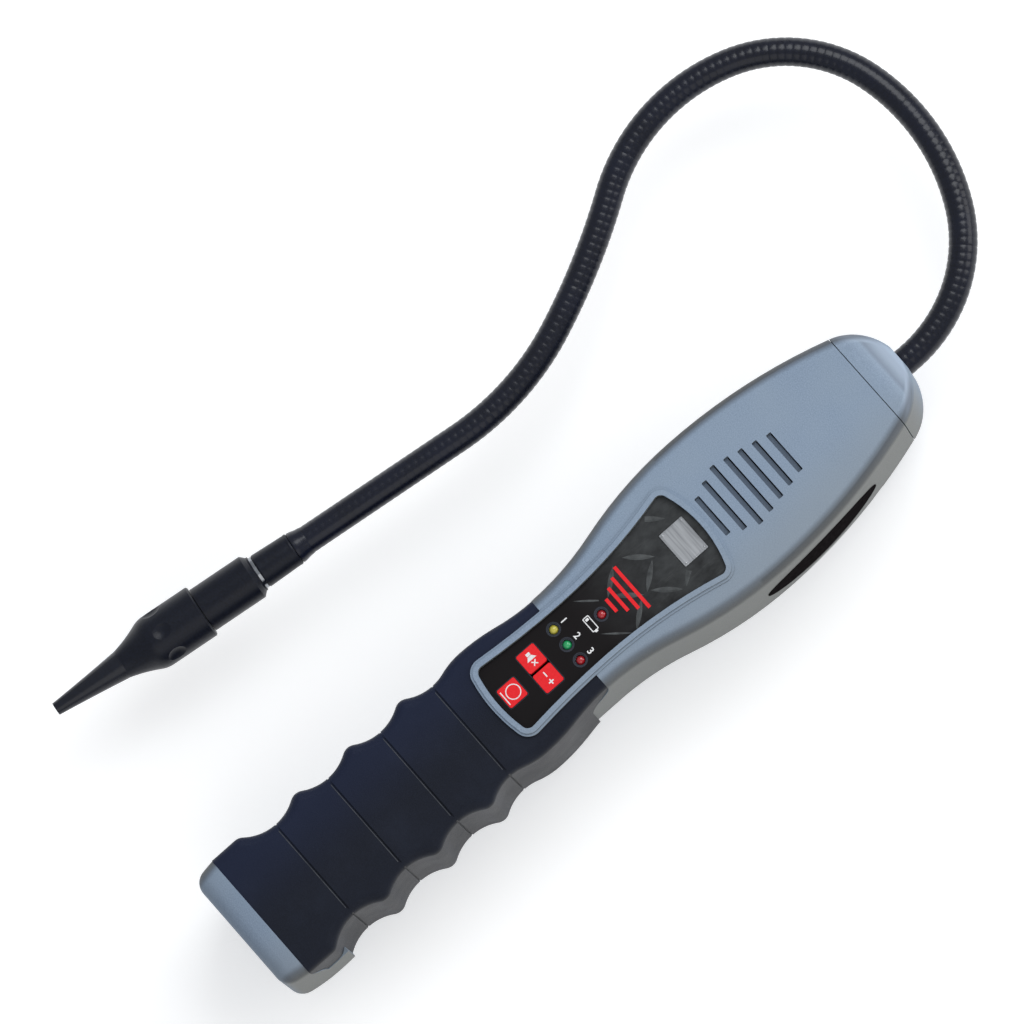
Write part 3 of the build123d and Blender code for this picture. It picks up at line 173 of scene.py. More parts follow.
def moulded(name, dark, light, scale, rough, depth, stretch=(1, 1, 1), **settings):
    """A surface of two close tones in a fine grain, with the same grain in its relief and its gloss."""
    look = Look(name, **settings)
    fine = look.noise(scale, 3.0, stretch=stretch)
    broad = look.noise(scale / 40, 2.0)
    tone = look.math("ADD", look.spread(fine, 0.3, 0.7, 0, 0.7), look.spread(broad, 0.3, 0.7, 0, 0.3))
    look.colour(look.mix(tone, dark, light))
    look.put(look.spread(broad, 0.3, 0.7, rough - 0.05, rough + 0.05), look.shader.inputs["Roughness"])
    look.relief(fine, depth)
    return look


def shell_plastic(name):
    """Speckled grey moulding, with painted shade where its edges round over and in the slots, a painted
    reflection that tints its sides warmer, and painted light on the round at the nose end.
    """
    look = Look(name, Specular_IOR_Level=0.3)
    speck = look.noise(2600, 4.0, 0.65)
    cloud = look.noise(45, 3.0)
    face = look.mix(look.spread(speck, 0.32, 0.68), srgb(121, 138, 158), srgb(146, 163, 184))
    face = look.mix(look.spread(cloud, 0.35, 0.7, 0, 0.35), face, srgb(148, 163, 178))
    across, along, height = look.axes(look.place)
    face = look.mix(look.spread(across, 0.002, 0.024, 0, 0.55, smooth=True), face, srgb(140, 148, 154))
    at_butt = look.spread(along, at(16) * MM, at(1) * MM, 0, 0.35, smooth=True)
    face = look.mix(at_butt, face, srgb(92, 101, 114))
    # The slots' floors lie 1.2 mm under the face; they are painted darker, as painted shade in the recesses.
    in_slot = look.math("MULTIPLY", look.spread(height, 0.0393, 0.0390), look.spread(height, 0.0370, 0.0375))
    slot_painted_shade = look.math("MULTIPLY", look.spread(along, at(186) * MM, at(187) * MM), in_slot)
    face = look.mix(look.math("MULTIPLY", slot_painted_shade, 0.62), face, srgb(52, 60, 72))
    normal = look.node("ShaderNodeNewGeometry").outputs["Normal"]
    side, lengthwise, upward = look.axes(normal)
    flank = look.math("ABSOLUTE", side)
    # Painted reflection: faces that turn sideways are tinted warmer and greyer.
    side_warm_reflection = look.mix(look.spread(speck, 0.3, 0.7), srgb(108, 110, 109), srgb(136, 134, 124))
    toned = look.mix(look.spread(flank, 0.35, 0.95, 0, 0.85, smooth=True), face, side_warm_reflection)
    # Painted shade: darker where the edges round over from the face towards the sides.
    painted_edge_shade = look.math(
        "MULTIPLY",
        look.spread(flank, 0.12, 0.55, smooth=True),
        look.spread(upward, 0.1, 0.5, smooth=True),
    )
    # Painted light: the round at the nose end is painted lighter.
    nose_painted_light = look.math(
        "MULTIPLY",
        look.spread(lengthwise, 0.1, 0.5, smooth=True),
        look.spread(upward, 0.2, 0.6, smooth=True),
    )
    toned = look.mix(look.math("MULTIPLY", nose_painted_light, 0.75), toned, srgb(176, 190, 208))
    # Mixes in the painted shade on the rounds.
    look.colour(look.mix(look.math("MULTIPLY", painted_edge_shade, 0.55), toned, srgb(70, 73, 78)))
    look.put(look.spread(speck, 0.3, 0.7, 0.5, 0.66), look.shader.inputs["Roughness"])
    look.relief(speck, 0.00006)
    return look


def rubber(name):
    """Soft dark rubber with a faint bloom and a fine skin, painted bluish light towards its negative X side
    and a painted reflection on its flanks.
    """
    look = Look(name, Specular_IOR_Level=0.16, Sheen_Weight=0.06, Sheen_Roughness=0.5)
    skin = look.noise(3200, 4.0, 0.6)
    bloom = look.noise(70, 4.0, 0.6)
    tone = look.mix(look.spread(skin, 0.3, 0.7), srgb(16, 20, 31), srgb(25, 30, 43))
    tone = look.mix(look.spread(bloom, 0.45, 0.8, 0, 0.35), tone, srgb(38, 44, 60))
    across = look.axes(look.place)[0]
    # Painted bluish light: the tone turns bluer towards negative X.
    tone = look.mix(look.spread(across, 0.006, -0.018, 0, 0.55, smooth=True), tone, srgb(26, 36, 64))
    normal = look.node("ShaderNodeNewGeometry").outputs["Normal"]
    flank = look.math("ABSOLUTE", look.axes(normal)[0])
    # Painted reflection: faces that turn sideways take a greyer tone.
    flank_reflection = look.mix(look.spread(skin, 0.3, 0.7), srgb(22, 24, 28), srgb(35, 36, 39))
    look.colour(look.mix(look.spread(flank, 0.8, 1.0, 0, 0.7, smooth=True), tone, flank_reflection))
    look.put(look.spread(bloom, 0.3, 0.8, 0.55, 0.42), look.shader.inputs["Roughness"])
    look.relief(skin, 0.00005)
    return look


def label_film(name):
    """Printed film: near black at its low end, charcoal with a look of wear towards its top."""
    look = Look(name, Specular_IOR_Level=0.1)
    along = look.axes(look.place)[1]
    wash = look.noise(260, 4.0, 0.6, stretch=(1, 0.6, 1))
    scratch = look.noise(900, 3.0, 0.6, stretch=(1, 0.15, 1))
    charcoal = look.mix(look.spread(wash, 0.3, 0.7), srgb(44, 45, 46), srgb(68, 70, 71))
    charcoal = look.mix(look.spread(scratch, 0.6, 0.75, 0, 0.3), charcoal, srgb(86, 88, 88))
    rise = look.spread(along, at(136) * MM, at(172) * MM, smooth=True)
    look.colour(look.mix(rise, srgb(24, 21, 22), charcoal))
    look.put(look.spread(wash, 0.3, 0.7, 0.36, 0.5), look.shader.inputs["Roughness"])
    look.relief(scratch, 0.00001)
    return look


def side_film(name):
    """The side label: flat black film that takes no gloss."""
    look = Look(name, Specular_IOR_Level=0.0)
    wash = look.noise(900, 3.0)
    look.colour(look.mix(look.spread(wash, 0.3, 0.7), srgb(26, 23, 24), srgb(38, 35, 36)))
    look.put(look.spread(wash, 0.3, 0.7, 0.8, 0.95), look.shader.inputs["Roughness"])
    look.relief(wash, 0.000005)
    return look


def neck_skin(name):
    """The neck's tight glossy sleeve."""
    look = Look(name, Specular_IOR_Level=0.3, Coat_Weight=0.16, Coat_Roughness=0.12)
    film = look.noise(1600, 3.0, 0.55)
    cloud = look.noise(60, 3.0)
    tone = look.mix(look.spread(film, 0.3, 0.7), srgb(6, 9, 21), srgb(12, 17, 34))
    look.colour(look.mix(look.spread(cloud, 0.45, 0.75, 0, 0.35), tone, srgb(16, 24, 48)))
    look.put(look.spread(film, 0.3, 0.7, 0.26, 0.34), look.shader.inputs["Roughness"])
    look.relief(film, 0.000003)
    return look


def lens(name, dark, light):
    """A tinted lamp body, with painted shade at its rim and painted light in its middle, set by the angle of
    view.
    """
    look = Look(name, Roughness=0.12, Specular_IOR_Level=0.6, Coat_Weight=0.6, Coat_Roughness=0.05)
    facing = look.node("ShaderNodeLayerWeight", Blend=0.35).outputs["Facing"]
    swirl = look.noise(700, 2.0)
    # Painted shade and light: darker towards the rim and lighter in the middle as the surface turns from the
    # view, with a little swirl.
    depth = look.math("ADD", facing, look.spread(swirl, 0.3, 0.7, -0.12, 0.12))
    look.colour(look.mix(depth, light, dark))
    look.relief(swirl, 0.00002)
    return look


def cell_wrap(name):
    """A battery cell's printed wrap: dark with a lighter band, and bare metal at its ends."""
    look = Look(name, Specular_IOR_Level=0.5, Coat_Weight=0.3)
    along = look.axes(look.place)[1]
    print_noise = look.noise(1500, 2.0)
    dark = look.mix(print_noise, srgb(24, 26, 30), srgb(34, 36, 41))
    band = look.mix(print_noise, srgb(150, 152, 155), srgb(170, 172, 174))
    wave = look.math("FRACT", look.math("DIVIDE", along, 0.0506))
    look.colour(look.mix(look.spread(wave, 0.70, 0.71), dark, band))
    look.put(look.spread(print_noise, 0.3, 0.7, 0.25, 0.35), look.shader.inputs["Roughness"])
    look.relief(print_noise, 0.00001)
    return look


METAL = {"Metallic": 1.0}
PRINT_RED = (srgb(232, 34, 40), srgb(244, 48, 54))
LOOKS = {
    "shell_grey": shell_plastic("shell_grey"),
    "door_grey": shell_plastic("door_grey"),
    "grip_rubber": rubber("grip_rubber"),
    "label_black": label_film("label_black"),
    "key_red": moulded("key_red", *PRINT_RED, 1800, 0.5, 0.00001, Specular_IOR_Level=0.15),
    "lamp_yellow": lens("lamp_yellow", srgb(84, 78, 18), srgb(206, 194, 74)),
    "lamp_green": lens("lamp_green", srgb(0, 62, 34), srgb(34, 170, 100)),
    "lamp_red": lens("lamp_red", srgb(52, 2, 8), srgb(176, 18, 30)),
    "switch_black": moulded("switch_black", srgb(22, 23, 25), srgb(34, 35, 38), 1500, 0.5, 0.00003),
    "board_green": moulded(
        "board_green", srgb(16, 70, 42), srgb(26, 92, 56), 500, 0.38, 0.00003, Coat_Weight=0.3
    ),
    "screw_steel": moulded(
        "screw_steel", srgb(150, 152, 155), srgb(190, 192, 194), 1200, 0.32, 0.00002, **METAL
    ),
    "speaker_black": moulded("speaker_black", srgb(18, 18, 20), srgb(36, 36, 40), 1700, 0.8, 0.00008),
    "tray_black": moulded("tray_black", srgb(24, 25, 28), srgb(38, 39, 43), 1500, 0.6, 0.00005),
    "cell_case": cell_wrap("cell_case"),
    "contact_nickel": moulded(
        "contact_nickel", srgb(176, 174, 166), srgb(206, 204, 198), 900, 0.28, 0.00001, **METAL
    ),
    "neck_black": neck_skin("neck_black"),
    "anchor_brass": moulded(
        "anchor_brass", srgb(176, 140, 70), srgb(208, 172, 98), 1000, 0.3, 0.00002, **METAL
    ),
    "tip_black": moulded(
        "tip_black", srgb(9, 12, 22), srgb(19, 24, 38), 1400, 0.36, 0.00004, Specular_IOR_Level=0.26
    ),
    "ring_chrome": moulded(
        "ring_chrome", srgb(134, 137, 143), srgb(170, 173, 178), 700, 0.16, 0.000005, **METAL
    ),
    "sensor_can": moulded(
        "sensor_can", srgb(160, 162, 165), srgb(196, 198, 200), 1400, 0.3, 0.00002, **METAL
    ),
    "filter_white": moulded("filter_white", srgb(206, 206, 200), srgb(240, 240, 236), 2600, 0.95, 0.0003),
    "nozzle_black": moulded(
        "nozzle_black", srgb(8, 11, 22), srgb(17, 22, 36), 1000, 0.24, 0.00002, Specular_IOR_Level=0.4
    ),
}
# Looks of the thin pieces laid over the model: print, the bare plate, the lighter strips that paint a
# highlight and the dark rings that paint shade.
OVERLAY_LOOKS = {
    "print_white": moulded("print_white", srgb(226, 226, 226), srgb(246, 246, 246), 1500, 0.45, 0.000004),
    "print_red": moulded("print_red", *PRINT_RED, 900, 0.5, 0.000004, Specular_IOR_Level=0.15),
    "tread_grey": moulded(
        "tread_grey", srgb(48, 50, 51), srgb(84, 87, 88), 420, 0.4, 0.00001, Specular_IOR_Level=0.3
    ),
    "plate_silver": moulded(
        "plate_silver",
        srgb(140, 142, 145),
        srgb(192, 194, 197),
        1500,
        0.42,
        0.000001,
        stretch=(0.05, 1, 1),
        **METAL,
    ),
    # A painted highlight for the lip beside each line across the grip.
    "lip_highlight_grey": moulded(
        "lip_highlight_grey", srgb(52, 55, 62), srgb(84, 86, 90), 700, 0.6, 0.00001, Specular_IOR_Level=0.2
    ),
    "lamp_ring": moulded("lamp_ring", srgb(20, 24, 34), srgb(38, 44, 58), 1500, 0.4, 0.00001),
}


SLOTS = {entry["node"]: entry["material_slot"] for entry in frame["record"]["subparts"]}
SIDE_FILM = side_film("side_label_film")
for node_name, node_object in NODES.items():
    look = SIDE_FILM if node_name == "side_label" else LOOKS[SLOTS[node_name]]
    if not node_object.material_slots:
        node_object.data.materials.append(look.material)
    for held in node_object.material_slots:
        held.material = look.material


# ------------------------------------------------------------ mesh building


def piece(name, form, look, body, smooth=False):
    """A finished bmesh in mm as an object in metres that rides on a body."""
    form.normal_update()
    bmesh.ops.recalc_face_normals(form, faces=form.faces)
    mesh = bpy.data.meshes.new(name)
    bmesh.ops.scale(form, vec=(MM, MM, MM), verts=form.verts)
    form.to_mesh(mesh)
    form.free()
    mesh.materials.append(look.material)
    for polygon in mesh.polygons:
        polygon.use_smooth = smooth
    made = bpy.data.objects.new(name, mesh)
    bpy.context.scene.collection.objects.link(made)
    if body:
        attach(made, body)
    return made


def add_prism(form, outline, low, high, bevel=0.0):
    """A flat plate with the given outline, its top edge drawn in by the bevel."""
    centre = Vector([sum(values) / len(outline) for values in zip(*outline)])
    rings = [[form.verts.new((x, y, low)) for x, y in outline]]
    if bevel:
        rings.append([form.verts.new((x, y, high - bevel)) for x, y in outline])
    top = []
    for x, y in outline:
        offset = Vector((x, y)) - centre
        share = 1 - bevel / max(offset.length, bevel * 2) if bevel else 1
        top.append(form.verts.new((centre.x + offset.x * share, centre.y + offset.y * share, high)))
    rings.append(top)
    form.faces.new(list(reversed(rings[0])))
    form.faces.new(rings[-1])
    join_rings(form, rings)


def join_rings(form, rings, closed=False):
    """Quads between neighbouring rings of vertices, each ring closed on itself."""
    pairs = list(zip(rings, rings[1:]))
    if closed:
        pairs.append((rings[-1], rings[0]))
    for lower, upper in pairs:
        for index in range(len(lower)):
            after = (index + 1) % len(lower)
            form.faces.new((lower[index], lower[after], upper[after], upper[index]))


def circle_points(centre, radius, count):
    """The outline of a circle."""
    angles = [2 * pi * step / count for step in range(count)]
    return [(centre[0] + radius * cos(angle), centre[1] + radius * sin(angle)) for angle in angles]


def add_frame(form, inner, outer, low, high):
    """A flat band between two outlines that have the same number of points."""
    rings = []
    for outline, z in ((inner, low), (outer, low), (outer, high), (inner, high)):
        rings.append([form.verts.new((x, y, z)) for x, y in outline])
    join_rings(form, rings, closed=True)


def add_ring(form, centre, inner, outer, low, high, count=48):
    """A flat washer."""
    add_frame(form, circle_points(centre, inner, count), circle_points(centre, outer, count), low, high)


def add_dome(form, centre, radius, low, rise, count=24, rings=5):
    """A low round head."""
    levels = []
    for step in range(rings):
        angle = pi / 2 * step / rings
        level_points = circle_points(centre, radius * cos(angle), count)
        levels.append([form.verts.new((x, y, low + rise * sin(angle))) for x, y in level_points])
    join_rings(form, levels)
    crown = form.verts.new((centre[0], centre[1], low + rise))
    for index in range(count):
        form.faces.new((levels[-1][index], levels[-1][(index + 1) % count], crown))
    form.faces.new(list(reversed(levels[0])))


def rounded_rectangle(centre, width, length, corner, steps=6):
    """The outline of a rectangle with round corners."""
    points = []
    for x_side, y_side, start in ((1, 1, 0), (-1, 1, 90), (-1, -1, 180), (1, -1, 270)):
        middle = (centre[0] + x_side * (width / 2 - corner), centre[1] + y_side * (length / 2 - corner))
        for step in range(steps + 1):
            angle = radians(start + 90 * step / steps)
            points.append((middle[0] + corner * cos(angle), middle[1] + corner * sin(angle)))
    return points


def bar(start, end, width):
    """The outline of a straight bar between two points."""
    run = Vector(end) - Vector(start)
    across = Vector((-run.y, run.x)).normalized() * width / 2
    return [tuple(Vector(p) + side * across) for p, side in ((start, 1), (start, -1), (end, -1), (end, 1))]


# ----------------------------------------------------------------- the label


def label_half_width(station):
    """Half the label's width at a station, from its two hollow sides."""
    run, drop = (31.9, 1.8) if station < LABEL_WAIST_STATION else (44.0, 5.5)
    radius = (drop**2 + run**2) / (2 * drop)
    return LABEL_WAIST_HALF + radius - sqrt(radius**2 - (station - LABEL_WAIST_STATION) ** 2)


def on_label(x, station, margin):
    """True where a point lies on the label, clear of its edge by the margin."""
    low_bow, low_corner, high_bow, high_corner = 1.6, 12.2, 3.2, 15.9
    low = LABEL_LOW_STATION + low_bow * (x / low_corner) ** 2
    high = LABEL_HIGH_STATION - high_bow * (x / high_corner) ** 2
    return low + margin < station < high - margin and abs(x) < label_half_width(station) - margin


def under_print(x, station):
    """True where the lamp, its sign or the bare plate covers the label."""
    by_lamp = abs(x) < 3.4 and BATTERY_SIGN_STATION - 2.0 < station < LOW_LAMP_STATION + 2.9
    by_plate = abs(x) < 6.6 and abs(station - PLATE_STATION) < 5.0
    return by_lamp or by_plate


def tread_pattern():
    """Raised lens shapes in two alternating directions, as on chequer plate, cut off at the label's edge."""
    form = bmesh.new()
    steps, least_rows = 16, 9
    pitch, half_length, half_width, rise = 10.6, 4.9, 0.85, 0.09
    across_share, along_share = 0.62, 0.93
    shift, first_station, stagger, lean = 1.0, 143.5, 0.6, 40
    fade_start, fade_run, least_fade = 138, 16, 0.25
    ridge_share = 0.36
    for row in range(5):
        for column in range(-3, 4):
            leaning = 1 if (row + column) % 2 else -1
            x = column * pitch * across_share + shift
            station = first_station + row * pitch * along_share + leaning * stagger
            angle = radians(90 - leaning * lean)
            along = Vector((cos(angle), sin(angle)))
            across = Vector((-along.y, along.x))
            fade = min(1.0, max(least_fade, (station - fade_start) / fade_run))
            rows = []
            for step in range(steps + 1):
                share = 2 * step / steps - 1
                middle = Vector((x, station)) + along * share * half_length
                width = max(half_width * fade * (1 - share**2), 0.02)
                edges = [middle + side * across * width for side in (-1, 1)]
                if all(on_label(edge.x, edge.y, 0.2) and not under_print(edge.x, edge.y) for edge in edges):
                    ridge = edges[0].lerp(edges[1], ridge_share)
                    ridge_z = LABEL_TOP_Z + rise * fade * (1 - share**2)
                    profile = ((edges[0], LABEL_TOP_Z), (ridge, ridge_z), (edges[1], LABEL_TOP_Z))
                    rows.append([(point.x, at(point.y), z) for point, z in profile])
                elif rows:
                    break
            if len(rows) < least_rows:
                continue
            rings = [[form.verts.new(point) for point in ring] for ring in rows]
            join_rings(form, rings)
            form.faces.new(list(reversed(rings[0])))
            form.faces.new(rings[-1])
    piece("tread_pattern", form, OVERLAY_LOOKS["tread_grey"], "housing")


def label_plate():
    """A bare metal plate with a stepped rim, held by a rivet in each corner."""
    centre = (0.0, at(PLATE_STATION))
    form = bmesh.new()
    plate_top = LABEL_TOP_Z + PLATE_HEIGHT
    edge = rounded_rectangle(centre, PLATE_WIDTH, PLATE_LENGTH, 0.35)
    add_prism(form, edge, LABEL_TOP_Z, plate_top, bevel=0.1)
    piece("plate_blank", form, OVERLAY_LOOKS["plate_silver"], "housing")
    form = bmesh.new()
    field = rounded_rectangle(centre, PLATE_WIDTH - 2 * PLATE_RIM, PLATE_LENGTH - 2 * PLATE_RIM, 0.3)
    add_prism(form, field, plate_top - 0.02, plate_top + 0.06, bevel=0.05)
    piece("plate_field", form, OVERLAY_LOOKS["plate_silver"], "housing")
    form = bmesh.new()
    for x_side in (-1, 1):
        for y_side in (-1, 1):
            x = x_side * (PLATE_WIDTH / 2 - RIVET_INSET)
            y = centre[1] + y_side * (PLATE_LENGTH / 2 - RIVET_INSET)
            add_dome(form, (x, y), 0.33, plate_top + 0.05, 0.16)
    piece("plate_rivets", form, OVERLAY_LOOKS["plate_silver"], "housing", smooth=True)


def red_bars():
    """Four bars, each shorter than the one above it."""
    form = bmesh.new()
    for station, length in ((156.5, 16.3), (153.8, 12.4), (151.0, 9.2), (148.3, 5.0)):
        outline = rounded_rectangle((0.0, at(station)), length, 1.1, 0.05, steps=2)
        add_prism(form, outline, LABEL_TOP_Z, LABEL_TOP_Z + 0.13)
    piece("red_bars", form, OVERLAY_LOOKS["print_red"], "housing")


def lamp_rings():
    """A sunk dark ring, painted shade round each lamp in its hole, and a printed line round each lamp."""
    form = bmesh.new()
    shade_ring, line = (1.63, 1.97), (2.0, 2.28)
    places = [(side * LAMP_SPACING, LAMP_STATION) for side in (-1, 0, 1)] + [(0.0, LOW_LAMP_STATION)]
    for x, station in places:
        # Painted shade: the sunk dark ring stands where the lamp's hole lies in shade.
        add_ring(form, (x, at(station)), *shade_ring, LABEL_TOP_Z - 0.45, LABEL_TOP_Z - 0.05)
        add_ring(form, (x, at(station)), *line, LABEL_TOP_Z, LABEL_TOP_Z + 0.1)
    piece("lamp_rings", form, OVERLAY_LOOKS["lamp_ring"], "housing")


def battery_sign():
    """A small battery outline with one bar left, under the low battery lamp."""
    low, high = LABEL_TOP_Z, LABEL_TOP_Z + PRINT_HEIGHT
    centre = (0.0, at(BATTERY_SIGN_STATION))
    form = bmesh.new()
    outer = rounded_rectangle(centre, 5.2, 2.3, 0.35)
    inner = rounded_rectangle(centre, 4.6, 1.7, 0.12)
    add_frame(form, inner, outer, low, high)
    add_prism(form, rounded_rectangle((2.85, centre[1]), 0.5, 1.0, 0.1), low, high)
    add_prism(form, rounded_rectangle((-1.6, centre[1]), 0.8, 1.1, 0.1), low, high)
    piece("battery_sign", form, OVERLAY_LOOKS["print_white"], "housing")


def numeral(name, text, x, station, size):
    """A plain numeral as a thin mesh, centred on a point of the label."""
    curve = bpy.data.curves.new(name, "FONT")
    curve.body = text
    curve.size = size
    curve.extrude = PRINT_HEIGHT / 2
    curve.offset = 0.05
    curve.align_x = "CENTER"
    curve.align_y = "CENTER"
    source = bpy.data.objects.new(name, curve)
    bpy.context.scene.collection.objects.link(source)
    bpy.context.view_layer.update()
    mesh = bpy.data.meshes.new_from_object(source.evaluated_get(bpy.context.evaluated_depsgraph_get()))
    bpy.data.objects.remove(source)
    form = bmesh.new()
    form.from_mesh(mesh)
    bpy.data.meshes.remove(mesh)
    bmesh.ops.remove_doubles(form, verts=form.verts, dist=0.001)
    bmesh.ops.translate(form, vec=(x, at(station), LABEL_TOP_Z + PRINT_HEIGHT / 2), verts=form.verts)
    piece(name, form, OVERLAY_LOOKS["print_white"], "housing")


def key_signs():
    """Plain signs on the keys: a ring over a line, a crossed speaker, and a plus over a minus."""
    low, high = KEY_TOP_Z, KEY_TOP_Z + PRINT_HEIGHT
    form = bmesh.new()
    y = at(POWER_KEY_STATION)
    add_ring(form, (0.0, y + 0.45), 2.1, 2.42, low, high)
    add_prism(form, bar((-2.4, y - 2.75), (2.4, y - 2.75), 0.34), low, high)
    piece("power_sign", form, OVERLAY_LOOKS["print_white"], "power_key_body")
    form = bmesh.new()
    pair_offset = (KEY_SIZE + KEY_GAP) / 2
    x, y = -pair_offset, at(KEY_PAIR_STATION)
    magnet = [(x - 2.1, y - 0.7), (x - 1.1, y - 0.7), (x - 1.1, y + 0.7), (x - 2.1, y + 0.7)]
    horn = [(x - 0.95, y - 0.7), (x + 0.3, y - 1.7), (x + 0.3, y + 1.7), (x - 0.95, y + 0.7)]
    add_prism(form, magnet, low, high)
    add_prism(form, horn, low, high)
    add_prism(form, bar((x + 0.8, y - 0.75), (x + 2.3, y + 0.75), 0.36), low, high)
    add_prism(form, bar((x + 0.8, y + 0.75), (x + 2.3, y - 0.75), 0.36), low, high + 0.005)
    piece("mute_sign", form, OVERLAY_LOOKS["print_white"], "mute_key_body")
    form = bmesh.new()
    x = pair_offset
    add_prism(form, bar((x - 2.3, y), (x - 0.5, y), 0.42), low, high)
    add_prism(form, bar((x + 0.5, y), (x + 2.3, y), 0.42), low, high)
    add_prism(form, bar((x + 1.4, y - 0.9), (x + 1.4, y + 0.9), 0.42), low, high + 0.005)
    piece("sensitivity_sign", form, OVERLAY_LOOKS["print_white"], "sensitivity_key_body")


def key_frames():
    """The fine dark line round each key."""
    form = bmesh.new()
    for station, width in ((POWER_KEY_STATION, KEY_SIZE), (KEY_PAIR_STATION, 2 * KEY_SIZE + KEY_GAP)):
        centre = (0.0, at(station))
        outer = rounded_rectangle(centre, width + 0.7, KEY_SIZE + 0.7, 0.85)
        inner = rounded_rectangle(centre, width + 0.26, KEY_SIZE + 0.26, 0.62)
        add_frame(form, inner, outer, LABEL_TOP_Z, LABEL_TOP_Z + 0.08)
    piece("key_frames", form, OVERLAY_LOOKS["lamp_ring"], "housing")


def grip_lips():
    """A fine raised strip on the butt side of each line across the grip's front, in a lighter grey as a
    painted highlight on the groove's lip.
    """
    form = bmesh.new()
    for place in range(VALLEY_COUNT):
        y = at(VALLEY_STATION + VALLEY_PITCH * place) - 0.5
        lip = rounded_rectangle((0.0, y), 31.0, 0.22, 0.1, steps=3)
        add_prism(form, lip, GRIP_FRONT_Z - 0.05, GRIP_FRONT_Z + 0.06)
    piece("grip_lips", form, OVERLAY_LOOKS["lip_highlight_grey"], "housing")


grip_lips()
tread_pattern()
label_plate()
red_bars()
lamp_rings()
battery_sign()
for lamp_number in (1, 2, 3):
    lamp_x = (lamp_number - 2) * LAMP_SPACING
    numeral(f"lamp_numeral_{lamp_number}", str(lamp_number), lamp_x, NUMERAL_STATION, NUMERAL_SIZE)
key_signs()
key_frames()


# ------------------------------------------------------------------ the neck

# The neck's centre line: a straight start, six bends as (radius, turn), and a straight end.
STRAIGHT_START = 26.0
START_HEADING = 91.5
BENDS = ((46.3, 60.7), (67.3, 41.7), (45.5, 56.3), (60.3, 52.7), (217.0, -11.7), (87.5, -28.8))
STRAIGHT_END = 67.2
RIB_PITCH = 2.4
RINGS_PER_RIB = 6
SEGMENTS = 40
VALLEY_RADIUS = 4.27
RIB_DEPTH = 0.11
RIB_FULLNESS = 0.55
EASE_START = 300.0
EASE_RUN = 60.0
EASE_SHARE = 0.45
BLEND_REACH = 13.0
FERRULE_OVERLAP = 8.0

joint_runs = [STRAIGHT_START]
for bend_radius, bend_turn in BENDS:
    joint_runs.append(joint_runs[-1] + bend_radius * abs(radians(bend_turn)))
neck_length = joint_runs[-1] + STRAIGHT_END


def neck_at(run):
    """The centre line's point and heading in degrees at a run from its start, in mm."""
    if run < STRAIGHT_START:
        return Vector((0.0, NECK_START_Y + run)), 90.0
    point, heading = Vector((0.0, NECK_START_Y + STRAIGHT_START)), START_HEADING
    for (radius, turn), low, high in zip(BENDS, joint_runs, joint_runs[1:]):
        side = 1 if turn > 0 else -1
        centre = point + side * radius * Vector((-sin(radians(heading)), cos(radians(heading))))
        length = min(run, high) - low
        swing = heading + side * length / radius * 180 / pi
        point = centre - side * radius * Vector((-sin(radians(swing)), cos(radians(swing))))
        heading = swing
        if run <= high:
            return point, heading
    beyond = run - joint_runs[-1]
    return point + beyond * Vector((cos(radians(heading)), sin(radians(heading)))), heading


def neck_radius(run):
    """Full rounded ribs with narrow valleys, shallower towards the sensor end."""
    wave = abs(sin(pi * run / RIB_PITCH)) ** RIB_FULLNESS
    ease = 1.0 - EASE_SHARE * min(1.0, max(0.0, (run - EASE_START) / EASE_RUN))
    return VALLEY_RADIUS + RIB_DEPTH * (1 - ease) + RIB_DEPTH * ease * wave


def neck_ring(form, run):
    """One ring of vertices round the centre line."""
    centre, heading = neck_at(run)
    across = Vector((-sin(radians(heading)), cos(radians(heading))))
    radius = neck_radius(run)
    ring = []
    for step in range(SEGMENTS):
        angle = 2 * pi * step / SEGMENTS
        flat = centre + across * radius * cos(angle)
        ring.append(form.verts.new((flat.x, flat.y, NECK_Z + radius * sin(angle))))
    return ring


cuts = [0.0]
for joint_run in joint_runs[1:]:
    cuts.append(round((joint_run - BLEND_REACH) / RIB_PITCH) * RIB_PITCH)
cuts.append(neck_length)
for number, (low_cut, high_cut) in enumerate(zip(cuts, cuts[1:]), 1):
    tube = bmesh.new()
    count = round((high_cut - low_cut) / RIB_PITCH * RINGS_PER_RIB)
    tube_rings = [neck_ring(tube, low_cut + (high_cut - low_cut) * step / count) for step in range(count + 1)]
    join_rings(tube, tube_rings)
    tube.faces.new(list(reversed(tube_rings[0])))
    tube.faces.new(tube_rings[-1])
    sleeve = piece(f"neck_sleeve_{number}", tube, LOOKS["neck_black"], None, smooth=True)
    sleeve.data.set_sharp_from_angle(angle=radians(60))
    joint_run = joint_runs[number - 1]
    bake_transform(sleeve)
    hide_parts(*(["neck_base"] if number == 1 else []), f"neck_span_{number}")


# ------------------------------------------------------------ the sensor end

TURNED_SEGMENTS = 64
tip_start, tip_heading = neck_at(neck_length - FERRULE_OVERLAP)
tip_along = Vector((cos(radians(tip_heading)), sin(radians(tip_heading)), 0))
tip_across = Vector((-tip_along.y, tip_along.x, 0))


def turned(name, profile, look):
    """A closed ring turned about the tip's axis from (distance, radius) points."""
    form = bmesh.new()
    rings = []
    for distance, radius in profile:
        ring = []
        for step in range(TURNED_SEGMENTS):
            angle = 2 * pi * step / TURNED_SEGMENTS
            point = Vector((tip_start.x, tip_start.y, NECK_Z)) + tip_along * distance
            point += tip_across * radius * cos(angle) + Vector((0, 0, radius * sin(angle)))
            ring.append(form.verts.new(point))
        rings.append(ring)
    join_rings(form, rings, closed=True)
    made = piece(name, form, look, "tip", smooth=True)
    made.data.set_sharp_from_angle(angle=radians(35))


